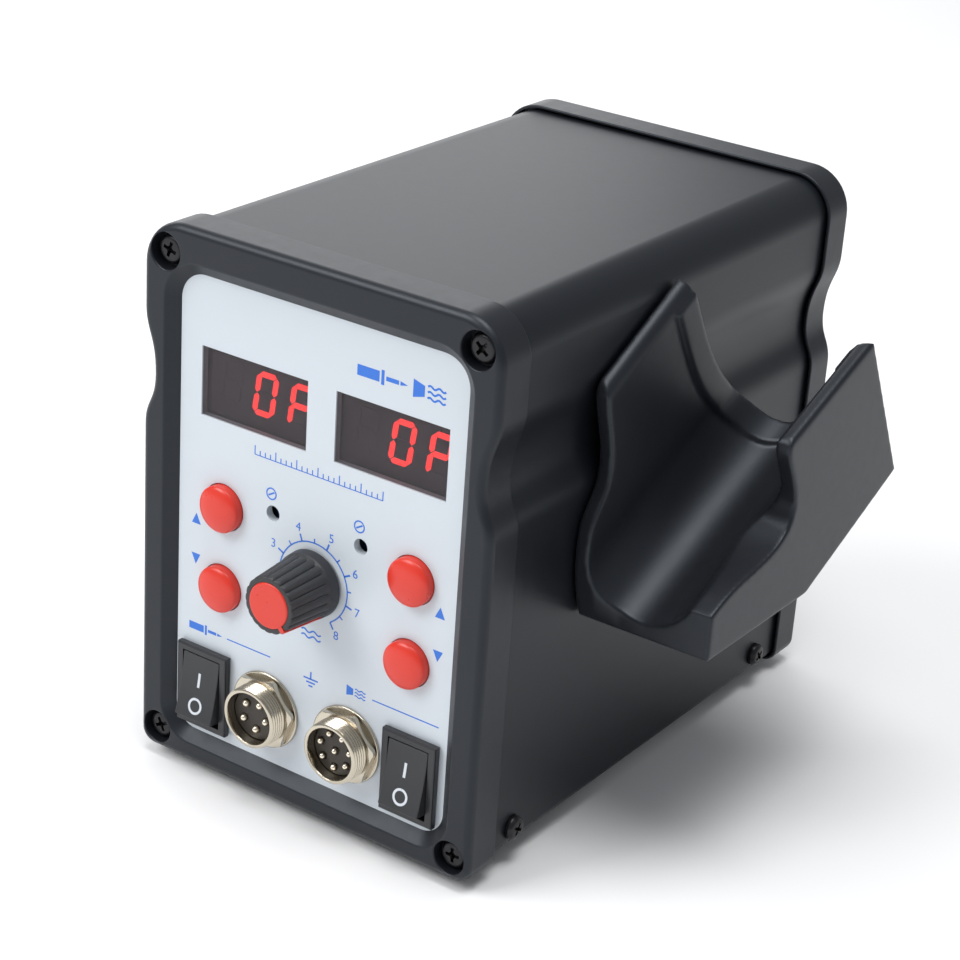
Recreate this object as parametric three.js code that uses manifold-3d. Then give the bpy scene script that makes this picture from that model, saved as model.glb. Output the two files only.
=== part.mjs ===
// Two-in-one soldering and hot-air station: a waved metal case between two moulded bezels, a printed
// front panel with its controls, and a cradle for the hot-air gun on the right-hand side.
// Millimetres, +X right, +Y to the back, +Z up. The design frame has x = 0 on the case's middle plane,
// y = 0 on the face of the front panel and z = 0 under the bezels; the last lines move the whole object
// so that its origin is at the bottom centre of its bounding box.
import * as THREE from 'three';
import { mergeVertices } from 'three/addons/utils/BufferGeometryUtils.js';
import Module from 'manifold-3d';

const wasm = await Module();
wasm.setup();

// ---- Driving dimensions -------------------------------------------------------------------------

const CASE_W = 98.6;
const CASE_H = 134.5;
const FRONT_Y = -2.6;
const REAR_Y = 148.3;
const BEZEL_D = 10.5;
const TOP_R = 11;
const BOTTOM_R = 4;
const WAVE_DEPTH = 3;
const WAVE_Z = [84, 97, 103, 113];
const EDGE_R = 2;

const COVER_INSET = 1.4;
const SHEET = 1.2;
const LIP_D = 2.4;
const REAR_GROOVE = 3;
const REAR_GAP = 0.7;

const PANEL = { halfW: 39.8, z0: 7.9, z1: 123.5, topR: 7, bottomR: 6, thick: 2, tuck: 1.6 };
const SLOPE_W = 3;

const BEZEL_SCREWS = [
  { x: 42.7, z: 127.3, boreR: 4.3 },
  { x: 43.8, z: 5.6, boreR: 4.1 },
];
const SIDE_SCREW = { ys: [16.3, 127.6], z: 6.6 };
const FOOT = { x: 36, ys: [18, 127], r: 6.5, drop: 2.6 };

const WINDOW = { centres: { left: -18.3, right: 20.1 }, z: 98.4, w: 30.5, h: 16.8 };
const DIGIT_DEPTH = 3.3;
const BUTTON_X = { left: -26.4, right: 27.9 };
const BUTTON_Z = { upper: 68.9, lower: 48.4 };
const BUTTON = { r: 5.7, proud: 1.5, dome: 1.7, travel: 1.2, flange: 1, stemR: 1.5 };
const TRIMMERS = { left: -11.8, right: 13.3 };
const TRIMMER_Z = 72.1;
const TRIMMER_HOLE_R = 1.9;
const TRIMMER = { half: 3.4, face: 5.2, rotorR: 1.7, wellD: 2, slotL: 2.6, slotW: 0.6 };
const KNOB = { x: 0.4, z: 58.9, baseR: 8.2, gripR: 7.6, tipR: 6.8, insertR: 5.5, len: 15.5, ribs: 20 };
const SHAFT_R = 3;
const RUN_GAP = 0.15;
const ROCKER = { x: 30.6, z: 20.6, halfW: 5.5, tilt: -11, pivotY: 0.5 };
const ROCKER_FLANGE = { w: 15, h: 21, depth: 2 };
const ROCKER_BODY = { w: 13, h: 19, back: 16 };
const ROCKER_MOUTH = { w: 11.4, h: 17.9, back: 11 };
const TAB = { halfW: 2.4, half: 0.4, back: 23, zs: [-6, 0, 6] };
const SOCKETS = { left: { x: -12, pins: 5 }, right: { x: 12, pins: 8 } };
const SOCKET = { z: 21.6, shellR: 7.6, boreR: 6.3, flangeR: 9.6, len: 6.6 };
const BOARD_Y = 12;

const CRADLE_X = [48.4, 82.6];
const TROUGH = { x: 65.3, r: 13.2, lipY: 36.4, lipZ: 57.4, rise: 23.7 };
const UNDERSIDE = { z: 53.6, bendY: 79, riseY: 84.5, riseZ: 55, slope: 0.454 };
const CRADLE_FAR_Y = 140;
const CRADLE_EDGE = 1.2;
const INNER_WALL_X = 53;
const COLLAR = { forward: 6.5, down: 4.5, height: 0.8 };
const GAP = 0.3;

// ---- Geometry helpers ---------------------------------------------------------------------------

const { Vector2, Vector3, Matrix4 } = THREE;
const SIDES = { left: -1, right: 1 };

// A closed three.js geometry becomes a manifold solid, with its faces turned outwards.
function solid(geometry) {
  const bare = geometry.clone();
  for (const name of Object.keys(bare.attributes)) {
    if (name !== 'position') bare.deleteAttribute(name);
  }
  const merged = mergeVertices(bare, 1e-4);
  const vertices = new Float32Array(merged.attributes.position.array);
  const corner = (i) => new Vector3().fromArray(vertices, 3 * i);
  const triangles = [];
  let volume = 0;
  const index = merged.index.array;
  for (let i = 0; i < index.length; i += 3) {
    const [a, b, c] = [index[i], index[i + 1], index[i + 2]];
    if (a === b || b === c || c === a) continue;
    triangles.push(a, b, c);
    volume += corner(a).dot(corner(b).cross(corner(c)));
  }
  if (volume < 0) triangles.reverse();
  return new wasm.Manifold(new wasm.Mesh({
    numProp: 3,
    vertProperties: vertices,
    triVerts: new Uint32Array(triangles),
  }));
}

const join = (first, ...others) => others.reduce((sum, piece) => sum.add(piece), first);
const cut = (first, ...others) => others.reduce((sum, piece) => sum.subtract(piece), first);

function box(x0, x1, y0, y1, z0, z1) {
  const geometry = new THREE.BoxGeometry(x1 - x0, y1 - y0, z1 - z0);
  return solid(geometry.translate((x0 + x1) / 2, (y0 + y1) / 2, (z0 + z1) / 2));
}

// An outline drawn in x and z, extruded along y. A bevel, if any, rounds both ends.
function slab(shape, y0, y1, bevel = 0, curveSegments = 4) {
  const options = { depth: y1 - y0 - 2 * bevel, curveSegments, bevelEnabled: bevel > 0 };
  Object.assign(options, { bevelThickness: bevel, bevelSize: bevel, bevelOffset: -bevel, bevelSegments: 2 });
  const geometry = new THREE.ExtrudeGeometry(shape, options);
  return solid(geometry.rotateX(Math.PI / 2).translate(0, y1 - bevel, 0));
}

// An outline drawn in y and z, extruded along x, with rounded ends if it has a bevel.
function plate(shape, x0, x1, bevel = 0, curveSegments = 6) {
  const options = { depth: x1 - x0 - 2 * bevel, curveSegments, bevelEnabled: bevel > 0 };
  Object.assign(options, { bevelThickness: bevel, bevelSize: bevel, bevelOffset: -bevel, bevelSegments: 2 });
  const geometry = new THREE.ExtrudeGeometry(shape, options);
  const turn = new Matrix4().makeBasis(new Vector3(0, 1, 0), new Vector3(0, 0, 1), new Vector3(1, 0, 0));
  return solid(geometry.applyMatrix4(turn).translate(x0 + bevel, 0, 0));
}

// A turned piece about an axis along y through (x, z). The profile lists [radius, y] and closes on the axis.
function turned(profile, x = 0, z = 0, segments = 24) {
  const points = profile.map(([r, y]) => new Vector2(r, y));
  return solid(new THREE.LatheGeometry(points, segments).translate(x, 0, z));
}

function rod(r, y0, y1, x = 0, z = 0, segments = 20) {
  return turned([[0, y0], [r, y0], [r, y1], [0, y1]], x, z, segments);
}

function rectangle(halfW, halfH, x = 0, z = 0) {
  const shape = new THREE.Shape();
  shape.moveTo(x - halfW, z - halfH);
  shape.lineTo(x + halfW, z - halfH);
  shape.lineTo(x + halfW, z + halfH);
  shape.lineTo(x - halfW, z + halfH);
  return shape;
}

// A rectangle between two heights with one corner radius at the bottom and another at the top.
function roundedPanel(halfW, z0, z1, bottomR, topR) {
  const shape = new THREE.Shape();
  shape.absarc(halfW - bottomR, z0 + bottomR, bottomR, -Math.PI / 2, 0, false);
  shape.absarc(halfW - topR, z1 - topR, topR, 0, Math.PI / 2, false);
  shape.absarc(-halfW + topR, z1 - topR, topR, Math.PI / 2, Math.PI, false);
  shape.absarc(-halfW + bottomR, z0 + bottomR, bottomR, Math.PI, 1.5 * Math.PI, false);
  return shape;
}

// The case outline: round corners and a shallow wave high on each side, moved in by an inset.
function caseOutline(inset) {
  const halfW = CASE_W / 2 - inset;
  const hollowX = halfW - WAVE_DEPTH;
  const [low, deepLow, deepHigh, high] = WAVE_Z;
  const bottomR = Math.max(BOTTOM_R - inset, 1);
  const topR = TOP_R - inset;
  const top = CASE_H - inset;
  const shape = new THREE.Shape();
  shape.absarc(halfW - bottomR, inset + bottomR, bottomR, -Math.PI / 2, 0, false);
  shape.lineTo(halfW, low);
  shape.bezierCurveTo(halfW, low + 6, hollowX, deepLow - 7, hollowX, deepLow);
  shape.bezierCurveTo(hollowX, deepHigh + 3, halfW, high - 6, halfW, high);
  shape.absarc(halfW - topR, top - topR, topR, 0, Math.PI / 2, false);
  shape.absarc(-halfW + topR, top - topR, topR, Math.PI / 2, Math.PI, false);
  shape.lineTo(-halfW, high);
  shape.bezierCurveTo(-halfW, high - 6, -hollowX, deepHigh + 3, -hollowX, deepLow);
  shape.bezierCurveTo(-hollowX, deepLow - 7, -halfW, low + 6, -halfW, low);
  shape.absarc(-halfW + bottomR, inset + bottomR, bottomR, Math.PI, 1.5 * Math.PI, false);
  return shape;
}

// ---- Materials and the scene graph --------------------------------------------------------------

const station = new THREE.Group();

const MATERIALS = {
  mouldedBlack: { color: 0x2b2d31, roughness: 0.55, metalness: 0 },
  coatedSteel: { color: 0x26282b, roughness: 0.5, metalness: 0.3 },
  printedPanel: { color: 0xdde3e8, roughness: 0.4, metalness: 0 },
  smokedWindow: { color: 0x2a2226, roughness: 0.1, metalness: 0 },
  redPlastic: { color: 0xd8402f, roughness: 0.35, metalness: 0 },
  blackPlastic: { color: 0x1c1d1f, roughness: 0.5, metalness: 0 },
  nickel: { color: 0xc8c1b2, roughness: 0.3, metalness: 1 },
  blackScrew: { color: 0x1f2022, roughness: 0.35, metalness: 0.8 },
  zincSteel: { color: 0x9a9da0, roughness: 0.4, metalness: 0.9 },
  insulator: { color: 0x3a332c, roughness: 0.6, metalness: 0 },
  rubber: { color: 0x17181a, roughness: 0.9, metalness: 0 },
  circuitBoard: { color: 0x1d5a38, roughness: 0.6, metalness: 0 },
  brass: { color: 0xc9a24a, roughness: 0.35, metalness: 1 },
  laminatedIron: { color: 0x5d5f63, roughness: 0.6, metalness: 0.7 },
};

// Names a solid and hangs it in the scene with its own material.
function add(name, piece, materialName) {
  const data = piece.getMesh();
  const geometry = new THREE.BufferGeometry();
  geometry.setAttribute('position', new THREE.BufferAttribute(new Float32Array(data.vertProperties), 3));
  geometry.setIndex(new THREE.BufferAttribute(new Uint32Array(data.triVerts), 1));
  const mesh = new THREE.Mesh(geometry, new THREE.MeshStandardMaterial(MATERIALS[materialName]));
  mesh.name = name;
  station.add(mesh);
}

// ---- Case ---------------------------------------------------------------------------------------

const panelOutline = (grow) => roundedPanel(
  PANEL.halfW + grow, PANEL.z0 - grow, PANEL.z1 + grow, PANEL.bottomR + grow, PANEL.topR + grow);

const bezelScrewSpots = [];
for (const { x, z, boreR } of BEZEL_SCREWS) {
  for (const side of [-1, 1]) bezelScrewSpots.push({ x: side * x, z, boreR });
}

const SCREW_SEAT = 3.6;
const SCREW_HOLE_R = 1.8;

// A bezel facing the front, with its outer face at y = 0 and its depth running back. The groove for
// the cover is cut into its back, and the panel sits in the pocket behind the sloped opening.
function bezelSolid(grooveDepth, grooveInset) {
  const recess = -FRONT_Y;
  const outer = join(
    slab(caseOutline(0), 0, BEZEL_D, EDGE_R),
    slab(caseOutline(0), BEZEL_D / 2, BEZEL_D));
  const mouth = new THREE.ExtrudeGeometry(panelOutline(0), {
    depth: recess, curveSegments: 4, bevelEnabled: true, bevelThickness: recess, bevelSize: SLOPE_W,
    bevelSegments: 1,
  });
  const opening = solid(mouth.rotateX(Math.PI / 2));
  const cutters = [
    opening,
    slab(panelOutline(0), -1, recess + 0.01),
    slab(panelOutline(PANEL.tuck + 0.1), recess, BEZEL_D + 1),
    slab(caseOutline(grooveInset), BEZEL_D - grooveDepth, BEZEL_D + 1),
  ];
  for (const { x, z, boreR } of bezelScrewSpots) {
    cutters.push(rod(boreR, -1, SCREW_SEAT, x, z, 16));
    cutters.push(rod(SCREW_HOLE_R, SCREW_SEAT - 1, BEZEL_D + 1, x, z, 6));
  }
  return cut(outer, ...cutters);
}

const turnRound = (piece) => piece.rotate([0, 0, 180]).translate([0, FRONT_Y + REAR_Y, 0]);

function makeBezels() {
  const front = bezelSolid(LIP_D, COVER_INSET - 0.15).translate([0, FRONT_Y, 0]);
  add('front_bezel', front, 'mouldedBlack');
  const rear = bezelSolid(REAR_GROOVE, COVER_INSET - REAR_GAP).translate([0, FRONT_Y, 0]);
  add('rear_bezel', turnRound(rear), 'mouldedBlack');
}

const COVER_Y = [FRONT_Y + BEZEL_D - LIP_D + 0.2, REAR_Y - BEZEL_D + REAR_GROOVE - 0.2];
const COVER_SCREW_R = 1.7;
const CRADLE_SCREWS = [{ y: 52, z: 62.5 }, { y: 82, z: 66 }];

function makeCover() {
  const [y0, y1] = COVER_Y;
  const innerHalf = CASE_W / 2 - COVER_INSET - SHEET;
  let cover = cut(
    slab(caseOutline(COVER_INSET), y0, y1),
    slab(caseOutline(COVER_INSET + SHEET), y0 - 1, y1 + 1),
    box(-innerHalf, innerHalf, y0 - 1, y1 + 1, 0, BOTTOM_R + 4),
    box(-CASE_W, CASE_W, y0 - 1, y1 + 1, 0, COVER_INSET + 0.2));
  for (const y of SIDE_SCREW.ys) cover = cover.subtract(crossRod(COVER_SCREW_R, y, SIDE_SCREW.z));
  for (const { y, z } of CRADLE_SCREWS) {
    cover = cover.subtract(crossRod(COVER_SCREW_R, y, z, 0, CASE_W));
  }
  add('cover', cover, 'coatedSteel');
}

// A rod along x through (y, z), from one side of the case to the other unless told otherwise.
function crossRod(r, y, z, x0 = -CASE_W, x1 = CASE_W, segments = 10) {
  const lathe = new THREE.LatheGeometry(
    [[0, x0], [r, x0], [r, x1], [0, x1]].map(([a, b]) => new Vector2(a, b)), segments);
  return solid(lathe.rotateZ(-Math.PI / 2).translate(0, y, z));
}

const BASE_Z = COVER_INSET + 0.2;
const BASE_FLANGE_H = 14;
const BASE_SETBACK = { corner: 4, middle: 1.4, halfW: 40 };

function makeBase() {
  const half = CASE_W / 2 - COVER_INSET - SHEET - GAP;
  const { corner, middle, halfW } = BASE_SETBACK;
  const [y0, y1] = [COVER_Y[0] + corner, COVER_Y[1] - corner];
  const tray = cut(
    box(-half, half, y0, y1, BASE_Z, BASE_Z + BASE_FLANGE_H),
    box(-half + SHEET, half - SHEET, y0 - 1, y1 + 1, BASE_Z + SHEET, BASE_Z + BASE_FLANGE_H + 1));
  const tongue = box(-halfW, halfW, COVER_Y[0] + middle, COVER_Y[1] - middle, BASE_Z, BASE_Z + SHEET);
  let base = join(tray, tongue);
  for (const y of SIDE_SCREW.ys) base = base.subtract(crossRod(COVER_SCREW_R, y, SIDE_SCREW.z));
  add('base_plate', base, 'coatedSteel');
  for (const [row, y] of FOOT.ys.entries()) {
    for (const [side, sign] of Object.entries(SIDES)) {
      const foot = new THREE.CylinderGeometry(FOOT.r, FOOT.r - 1, FOOT.drop + BASE_Z, 16);
      foot.rotateX(Math.PI / 2).translate(sign * FOOT.x, y, (BASE_Z - FOOT.drop) / 2);
      add(`foot_${row ? 'rear' : 'front'}_${side}`, solid(foot), 'rubber');
    }
  }
}

// ---- Screws -------------------------------------------------------------------------------------

// A cross-recess pan-head screw that points along +y, with its head's top face at y = 0.
function screwSolid({ headR, headH, shankR, length }) {
  const edge = headH * 0.35;
  const body = turned([
    [0, 0], [headR - edge, 0], [headR, edge], [headR, headH], [shankR, headH], [shankR, length], [0, length],
  ], 0, 0, 10);
  const arm = headR * 0.55;
  const slot = headR * 0.13;
  return cut(body,
    box(-arm, arm, -1, headH * 0.6, -slot, slot),
    box(-slot, slot, -1, headH * 0.6, -arm, arm));
}

function makeScrews() {
  const bezelScrew = { headR: 3.6, headH: 2.1, shankR: 1.5, length: 9.6 };
  const rest = SCREW_SEAT - bezelScrew.headH - 0.02;
  const names = ['top_left', 'top_right', 'bottom_left', 'bottom_right'];
  for (const [i, { x, z }] of bezelScrewSpots.entries()) {
    const screw = screwSolid(bezelScrew).rotate([0, 18 + 23 * i, 0]).translate([x, FRONT_Y + rest, z]);
    add(`front_screw_${names[i]}`, screw, 'blackScrew');
    add(`rear_screw_${names[i]}`, turnRound(screw), 'blackScrew');
  }
  const sideScrew = { headR: 3, headH: 1.9, shankR: 1.4, length: 6 };
  const faceX = CASE_W / 2 - COVER_INSET + sideScrew.headH + 0.02;
  for (const [row, y] of SIDE_SCREW.ys.entries()) {
    for (const [side, sign] of Object.entries(SIDES)) {
      const screw = screwSolid(sideScrew).rotate([0, 30, 0]).rotate([0, 0, sign * 90]);
      const name = `side_screw_${row ? 'rear' : 'front'}_${side}`;
      add(name, screw.translate([sign * faceX, y, SIDE_SCREW.z]), 'blackScrew');
    }
  }
  const insideX = CASE_W / 2 - COVER_INSET - SHEET - 0.02;
  for (const [i, { y, z }] of CRADLE_SCREWS.entries()) {
    const screw = screwSolid({ headR: 3, headH: 1.9, shankR: 1.4, length: 7 }).rotate([0, 0, -90]);
    add(`cradle_screw_${i + 1}`, screw.translate([insideX - 1.9, y, z]), 'zincSteel');
  }
}

// ---- Front panel --------------------------------------------------------------------------------

const BUSH_R = 3.5;
const SOCKET_HOLE_R = 7.8;

function makeFrontPanel() {
  const sheet = slab(panelOutline(PANEL.tuck), 0.02, PANEL.thick);
  const holes = [];
  const through = (shape) => holes.push(slab(shape, -1, PANEL.thick + 1));
  const drill = (r, x, z) => holes.push(rod(r, -1, PANEL.thick + 1, x, z));
  for (const x of Object.values(WINDOW.centres)) through(rectangle(WINDOW.w / 2, WINDOW.h / 2, x, WINDOW.z));
  for (const [side, sign] of Object.entries(SIDES)) {
    for (const z of Object.values(BUTTON_Z)) drill(BUTTON.r + 0.2, BUTTON_X[side], z);
    through(rectangle(ROCKER_BODY.w / 2 + 0.1, ROCKER_BODY.h / 2 + 0.1, sign * ROCKER.x, ROCKER.z));
  }
  for (const x of Object.values(TRIMMERS)) drill(TRIMMER_HOLE_R, x, TRIMMER_Z);
  drill(BUSH_R + 0.1, KNOB.x, KNOB.z);
  for (const { x } of Object.values(SOCKETS)) drill(SOCKET_HOLE_R, x, SOCKET.z);
  add('front_panel', cut(sheet, ...holes), 'printedPanel');
}

function makeDisplays() {
  for (const [side, x] of Object.entries(WINDOW.centres)) {
    const lens = slab(rectangle(WINDOW.w / 2 - 0.05, WINDOW.h / 2 - 0.05, x, WINDOW.z), 0.3, 1.5);
    add(`window_${side}`, lens, 'smokedWindow');
    const outline = rectangle(WINDOW.w / 2 - 0.2, WINDOW.h / 2 - 0.2, x, WINDOW.z);
    const body = slab(outline, DIGIT_DEPTH, BOARD_Y - 0.1);
    add(`display_${side}`, body, 'blackPlastic');
  }
}

// The board behind the panel carries the displays, the four switches under the buttons and the trimmers.
const SWITCH_TOP = 8;
const BOARD = { half: 38, z: 76, thick: 1.6 };
const TACT_SWITCH = { half: 3, stemR: 1.7 };

function makeBoard() {
  const pieces = [slab(rectangle(BOARD.half, BOARD.half, 0, BOARD.z), BOARD_Y, BOARD_Y + BOARD.thick)];
  const { half, stemR } = TACT_SWITCH;
  for (const x of Object.values(BUTTON_X)) {
    for (const z of Object.values(BUTTON_Z)) {
      pieces.push(slab(rectangle(half, half, x, z), SWITCH_TOP + 1, BOARD_Y + 0.5));
      pieces.push(rod(stemR, SWITCH_TOP + 0.2, SWITCH_TOP + 1.5, x, z, 16));
    }
  }
  add('display_board', join(...pieces), 'circuitBoard');
}

function makeButtons() {
  const { r, proud, dome, travel, flange, stemR } = BUTTON;
  const front = PANEL.thick + 0.05;
  const back = front + flange;
  const end = SWITCH_TOP - travel + 0.1;
  const domeSteps = 3;
  for (const [side, x] of Object.entries(BUTTON_X)) {
    for (const [row, z] of Object.entries(BUTTON_Z)) {
      const profile = [[0, -proud - dome]];
      for (let i = 1; i < domeSteps; i += 1) {
        const angle = (i / domeSteps) * (Math.PI / 2);
        profile.push([r * Math.sin(angle), -proud - dome * Math.cos(angle)]);
      }
      profile.push([r, -proud], [r, front], [r + flange, front], [r + flange, back]);
      profile.push([stemR, back], [stemR, end], [0, end]);
      add(`button_${side}_${row}`, turned(profile, x, z, 20), 'redPlastic');
    }
  }
}

// Each trimmer is a square block with a slotted rotor, reached through the hole in front of it.
function makeTrimmers() {
  const { half, face, rotorR, wellD, slotL, slotW } = TRIMMER;
  for (const [side, x] of Object.entries(TRIMMERS)) {
    const body = slab(rectangle(half, half, x, TRIMMER_Z), face, BOARD_Y - 0.1);
    const well = rod(rotorR + RUN_GAP, face - 1, face + wellD, x, TRIMMER_Z, 12);
    add(`trimmer_${side}`, body.subtract(well), 'blackPlastic');
    const rotor = rod(rotorR, face - 0.4, face + wellD - 0.1, x, TRIMMER_Z, 12);
    const slot = slab(rectangle(slotL / 2, slotW / 2, x, TRIMMER_Z), face - 1, face + 0.4);
    add(`trimmer_rotor_${side}`, rotor.subtract(slot), 'brass');
  }
}

// ---- Knob and potentiometer ---------------------------------------------------------------------

const SHAFT_Y = [-11, 7.5];
const BUSH_TIP = -1.6;
const POT = { half: 8, face: 2.6 };
const INSERT = { proud: 0.3, depth: 1.6 };

function makeKnob() {
  const { x, z, baseR, gripR, tipR, insertR, len, ribs } = KNOB;
  const [shaftTip, shaftEnd] = SHAFT_Y;
  const body = join(
    slab(rectangle(POT.half, POT.half), POT.face, BOARD_Y - 0.2),
    rod(BUSH_R, BUSH_TIP, POT.face + 0.4, 0, 0, 16));
  const bore = rod(SHAFT_R + RUN_GAP, BUSH_TIP - 1, shaftEnd + 0.5, 0, 0, 16);
  add('potentiometer', body.subtract(bore).translate([x, 0, z]), 'zincSteel');
  add('pot_shaft', rod(SHAFT_R, shaftTip, shaftEnd, x, z, 16), 'zincSteel');

  // The grip is a tapering barrel whose radius rises and falls once for each rib.
  const gripBack = -3.2;
  const gripLen = len - 0.8 + gripBack;
  const grip = new THREE.CylinderGeometry(gripR, tipR, gripLen, ribs * 4, 1);
  const at = grip.attributes.position;
  for (let i = 0; i < at.count; i += 1) {
    const angle = Math.atan2(at.getZ(i), at.getX(i));
    const swell = 1 + 0.035 * Math.cos(ribs * angle);
    at.setXYZ(i, at.getX(i) * swell, at.getY(i), at.getZ(i) * swell);
  }
  grip.translate(0, gripBack - gripLen / 2 + 0.2, 0);
  const skirt = turned([
    [0, -3.6], [gripR, -3.6], [baseR - 0.2, -2.6], [baseR, -2], [baseR, -0.5], [0, -0.5],
  ], 0, 0, 20);
  const nose = turned([
    [0, -len], [tipR - 0.5, -len], [tipR - 0.1, -len + 0.5], [tipR - 0.1, -len + 2], [0, -len + 2],
  ], 0, 0, 20);
  const knob = cut(
    join(solid(grip), skirt, nose),
    rod(insertR + 0.04, -len - 1, -len + INSERT.depth),
    rod(BUSH_R + 0.4, BUSH_TIP - 0.4, 0, 0, 0, 16),
    rod(SHAFT_R + 0.04, shaftTip - 0.02, 1, 0, 0, 16));
  add('knob_body', knob.translate([x, 0, z]), 'blackPlastic');
  const face = -len - INSERT.proud;
  const seat = -len + INSERT.depth - 0.05;
  const cap = turned([
    [0, face], [insertR - 0.4, face], [insertR, face + 0.4], [insertR, seat], [0, seat],
  ], x, z, 20);
  add('knob_cap', cap, 'redPlastic');
}

// ---- Rocker switches ----------------------------------------------------------------------------

function makeRockers() {
  const { x, z, halfW, tilt, pivotY } = ROCKER;
  const flange = slab(rectangle(ROCKER_FLANGE.w / 2, ROCKER_FLANGE.h / 2), -ROCKER_FLANGE.depth, -0.02, 0.4);
  const body = slab(rectangle(ROCKER_BODY.w / 2, ROCKER_BODY.h / 2), -1, ROCKER_BODY.back);
  const tabs = TAB.zs.map((tabZ) => slab(
    rectangle(TAB.halfW, TAB.half, 0, tabZ), ROCKER_BODY.back - 0.5, TAB.back));
  const well = slab(rectangle(ROCKER_MOUTH.w / 2, ROCKER_MOUTH.h / 2), -3, ROCKER_MOUTH.back);
  const frame = cut(join(flange, body, ...tabs), well);

  // Seen from the side the rocker is a wedge with a shallow V across its face. Its lower end stands out.
  const side = new THREE.Shape();
  side.moveTo(-3.5, -8);
  side.lineTo(-3, 0);
  side.lineTo(-3.5, 8);
  side.lineTo(1.5, 7.6);
  side.lineTo(5, 3);
  side.lineTo(5, -3);
  side.lineTo(1.5, -7.6);
  const rocker = plate(side, -halfW, halfW).translate([0, -pivotY, 0])
    .rotate([tilt, 0, 0]).translate([0, pivotY, 0]);
  for (const [name, sign] of Object.entries(SIDES)) {
    add(`rocker_frame_${name}`, frame.translate([sign * x, 0, z]), 'blackPlastic');
    add(`rocker_${name}`, rocker.translate([sign * x, 0, z]), 'blackPlastic');
  }
}

// ---- Round panel sockets ------------------------------------------------------------------------

// The pins stand evenly on a ring, with one more in the middle when there are more than six.
function pinSpots(count) {
  const middle = count > 6 ? 1 : 0;
  const ring = count - middle;
  const ringR = middle ? 4.3 : 3.5;
  const firstAngle = middle ? 11 : -8;
  const spots = middle ? [{ x: 0, z: 0 }] : [];
  for (let i = 0; i < ring; i += 1) {
    const angle = THREE.MathUtils.degToRad(firstAngle + (360 * i) / ring);
    spots.push({ x: ringR * Math.cos(angle), z: ringR * Math.sin(angle) });
  }
  return spots;
}

function makeSockets() {
  const { z, shellR, boreR, flangeR, len } = SOCKET;
  const pinR = 0.75;
  for (const [side, { x, pins }] of Object.entries(SOCKETS)) {
    const shell = turned([
      [boreR, -len], [shellR - 0.4, -len], [shellR, -len + 0.5], [shellR, -1.8], [flangeR - 0.5, -1.8],
      [flangeR, -1.3], [flangeR, -0.02], [shellR, -0.02], [shellR, 9], [boreR, 9], [boreR, -len],
    ], x, z, 24);
    add(`socket_${side}_shell`, shell, 'nickel');
    const nut = cut(
      rod(flangeR, PANEL.thick + 0.02, PANEL.thick + 2.5, x, z, 6),
      rod(shellR + 2 * RUN_GAP, 0, PANEL.thick + 4, x, z, 24));
    add(`socket_${side}_nut`, nut, 'nickel');

    const spots = pinSpots(pins);
    const face = -len + 2.6;
    const holes = spots.map((spot) => rod(pinR + 0.06, face - 1, 6, x + spot.x, z + spot.z, 6));
    const insert = rod(boreR - 0.08, face, 4, x, z, 24);
    add(`socket_${side}_insert`, cut(insert, ...holes), 'insulator');
    const carrier = rod(boreR - 0.3, 4.2, 5.4, x, z, 16);
    const contacts = spots.map((spot) => {
      const tip = [[0, face - 1.2], [pinR * 0.6, face - 1.2], [pinR, face - 0.7], [pinR, 10], [0, 10]];
      return turned(tip, x + spot.x, z + spot.z, 6);
    });
    add(`socket_${side}_pins`, join(carrier, ...contacts), 'brass');
  }
}

// ---- Cradle for the hot-air gun -----------------------------------------------------------------

// The underside that the walls and the floor share: level at the front, then rising to the back.
function undersideOutline() {
  const { z, bendY, riseY, riseZ } = UNDERSIDE;
  const shape = new THREE.Shape();
  shape.moveTo(TROUGH.lipY, z);
  shape.lineTo(bendY, z);
  shape.quadraticCurveTo((bendY + riseY) / 2, z, riseY, riseZ);
  shape.lineTo(CRADLE_FAR_Y, riseZ + (CRADLE_FAR_Y - riseY) * UNDERSIDE.slope);
  return shape;
}

// The outer wall as seen from the right: its front edge falls back behind a low lip.
function outerWallOutline() {
  const shape = undersideOutline();
  shape.lineTo(CRADLE_FAR_Y, 127.7);
  shape.lineTo(65.8, 98);
  shape.bezierCurveTo(61.5, 94.5, 69, 89, 70.2, 81);
  shape.bezierCurveTo(71, 73, 62, 70.8, 52, 69.4);
  shape.bezierCurveTo(44, 68.3, 41, 67, TROUGH.lipY, 65);
  return shape;
}

// The inner wall stands against the case and reaches higher.
function innerWallOutline() {
  const shape = undersideOutline();
  shape.lineTo(CRADLE_FAR_Y, 166.8);
  shape.lineTo(37.5, 111.7);
  shape.quadraticCurveTo(35.3, 110.5, 35.4, 108);
  shape.bezierCurveTo(36, 102, 39.5, 97, 39.2, 90);
  shape.bezierCurveTo(39, 83, 34, 82, 33, 76);
  shape.bezierCurveTo(31.8, 69, 33, 61, TROUGH.lipY, UNDERSIDE.z);
  return shape;
}

// The rear end: a slanted plane through these points on the outer half, and a sweeping curve that
// follows the trough up the inner wall on the half next to the case.
const REAR_PLANE = [
  new Vector3(49, 65.5, 127),
  new Vector3(82.6, 100.6, 111.9),
  new Vector3(82.6, 122.7, 72.4),
];

function rearSweepOutline() {
  const beyond = 240;
  const shape = new THREE.Shape();
  shape.moveTo(30, beyond);
  shape.lineTo(66.5, 127);
  shape.bezierCurveTo(77, 109, 78, 103, 103, 85.8);
  shape.lineTo(125, 46);
  shape.lineTo(beyond, 46);
  shape.lineTo(beyond, beyond);
  return shape;
}

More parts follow.
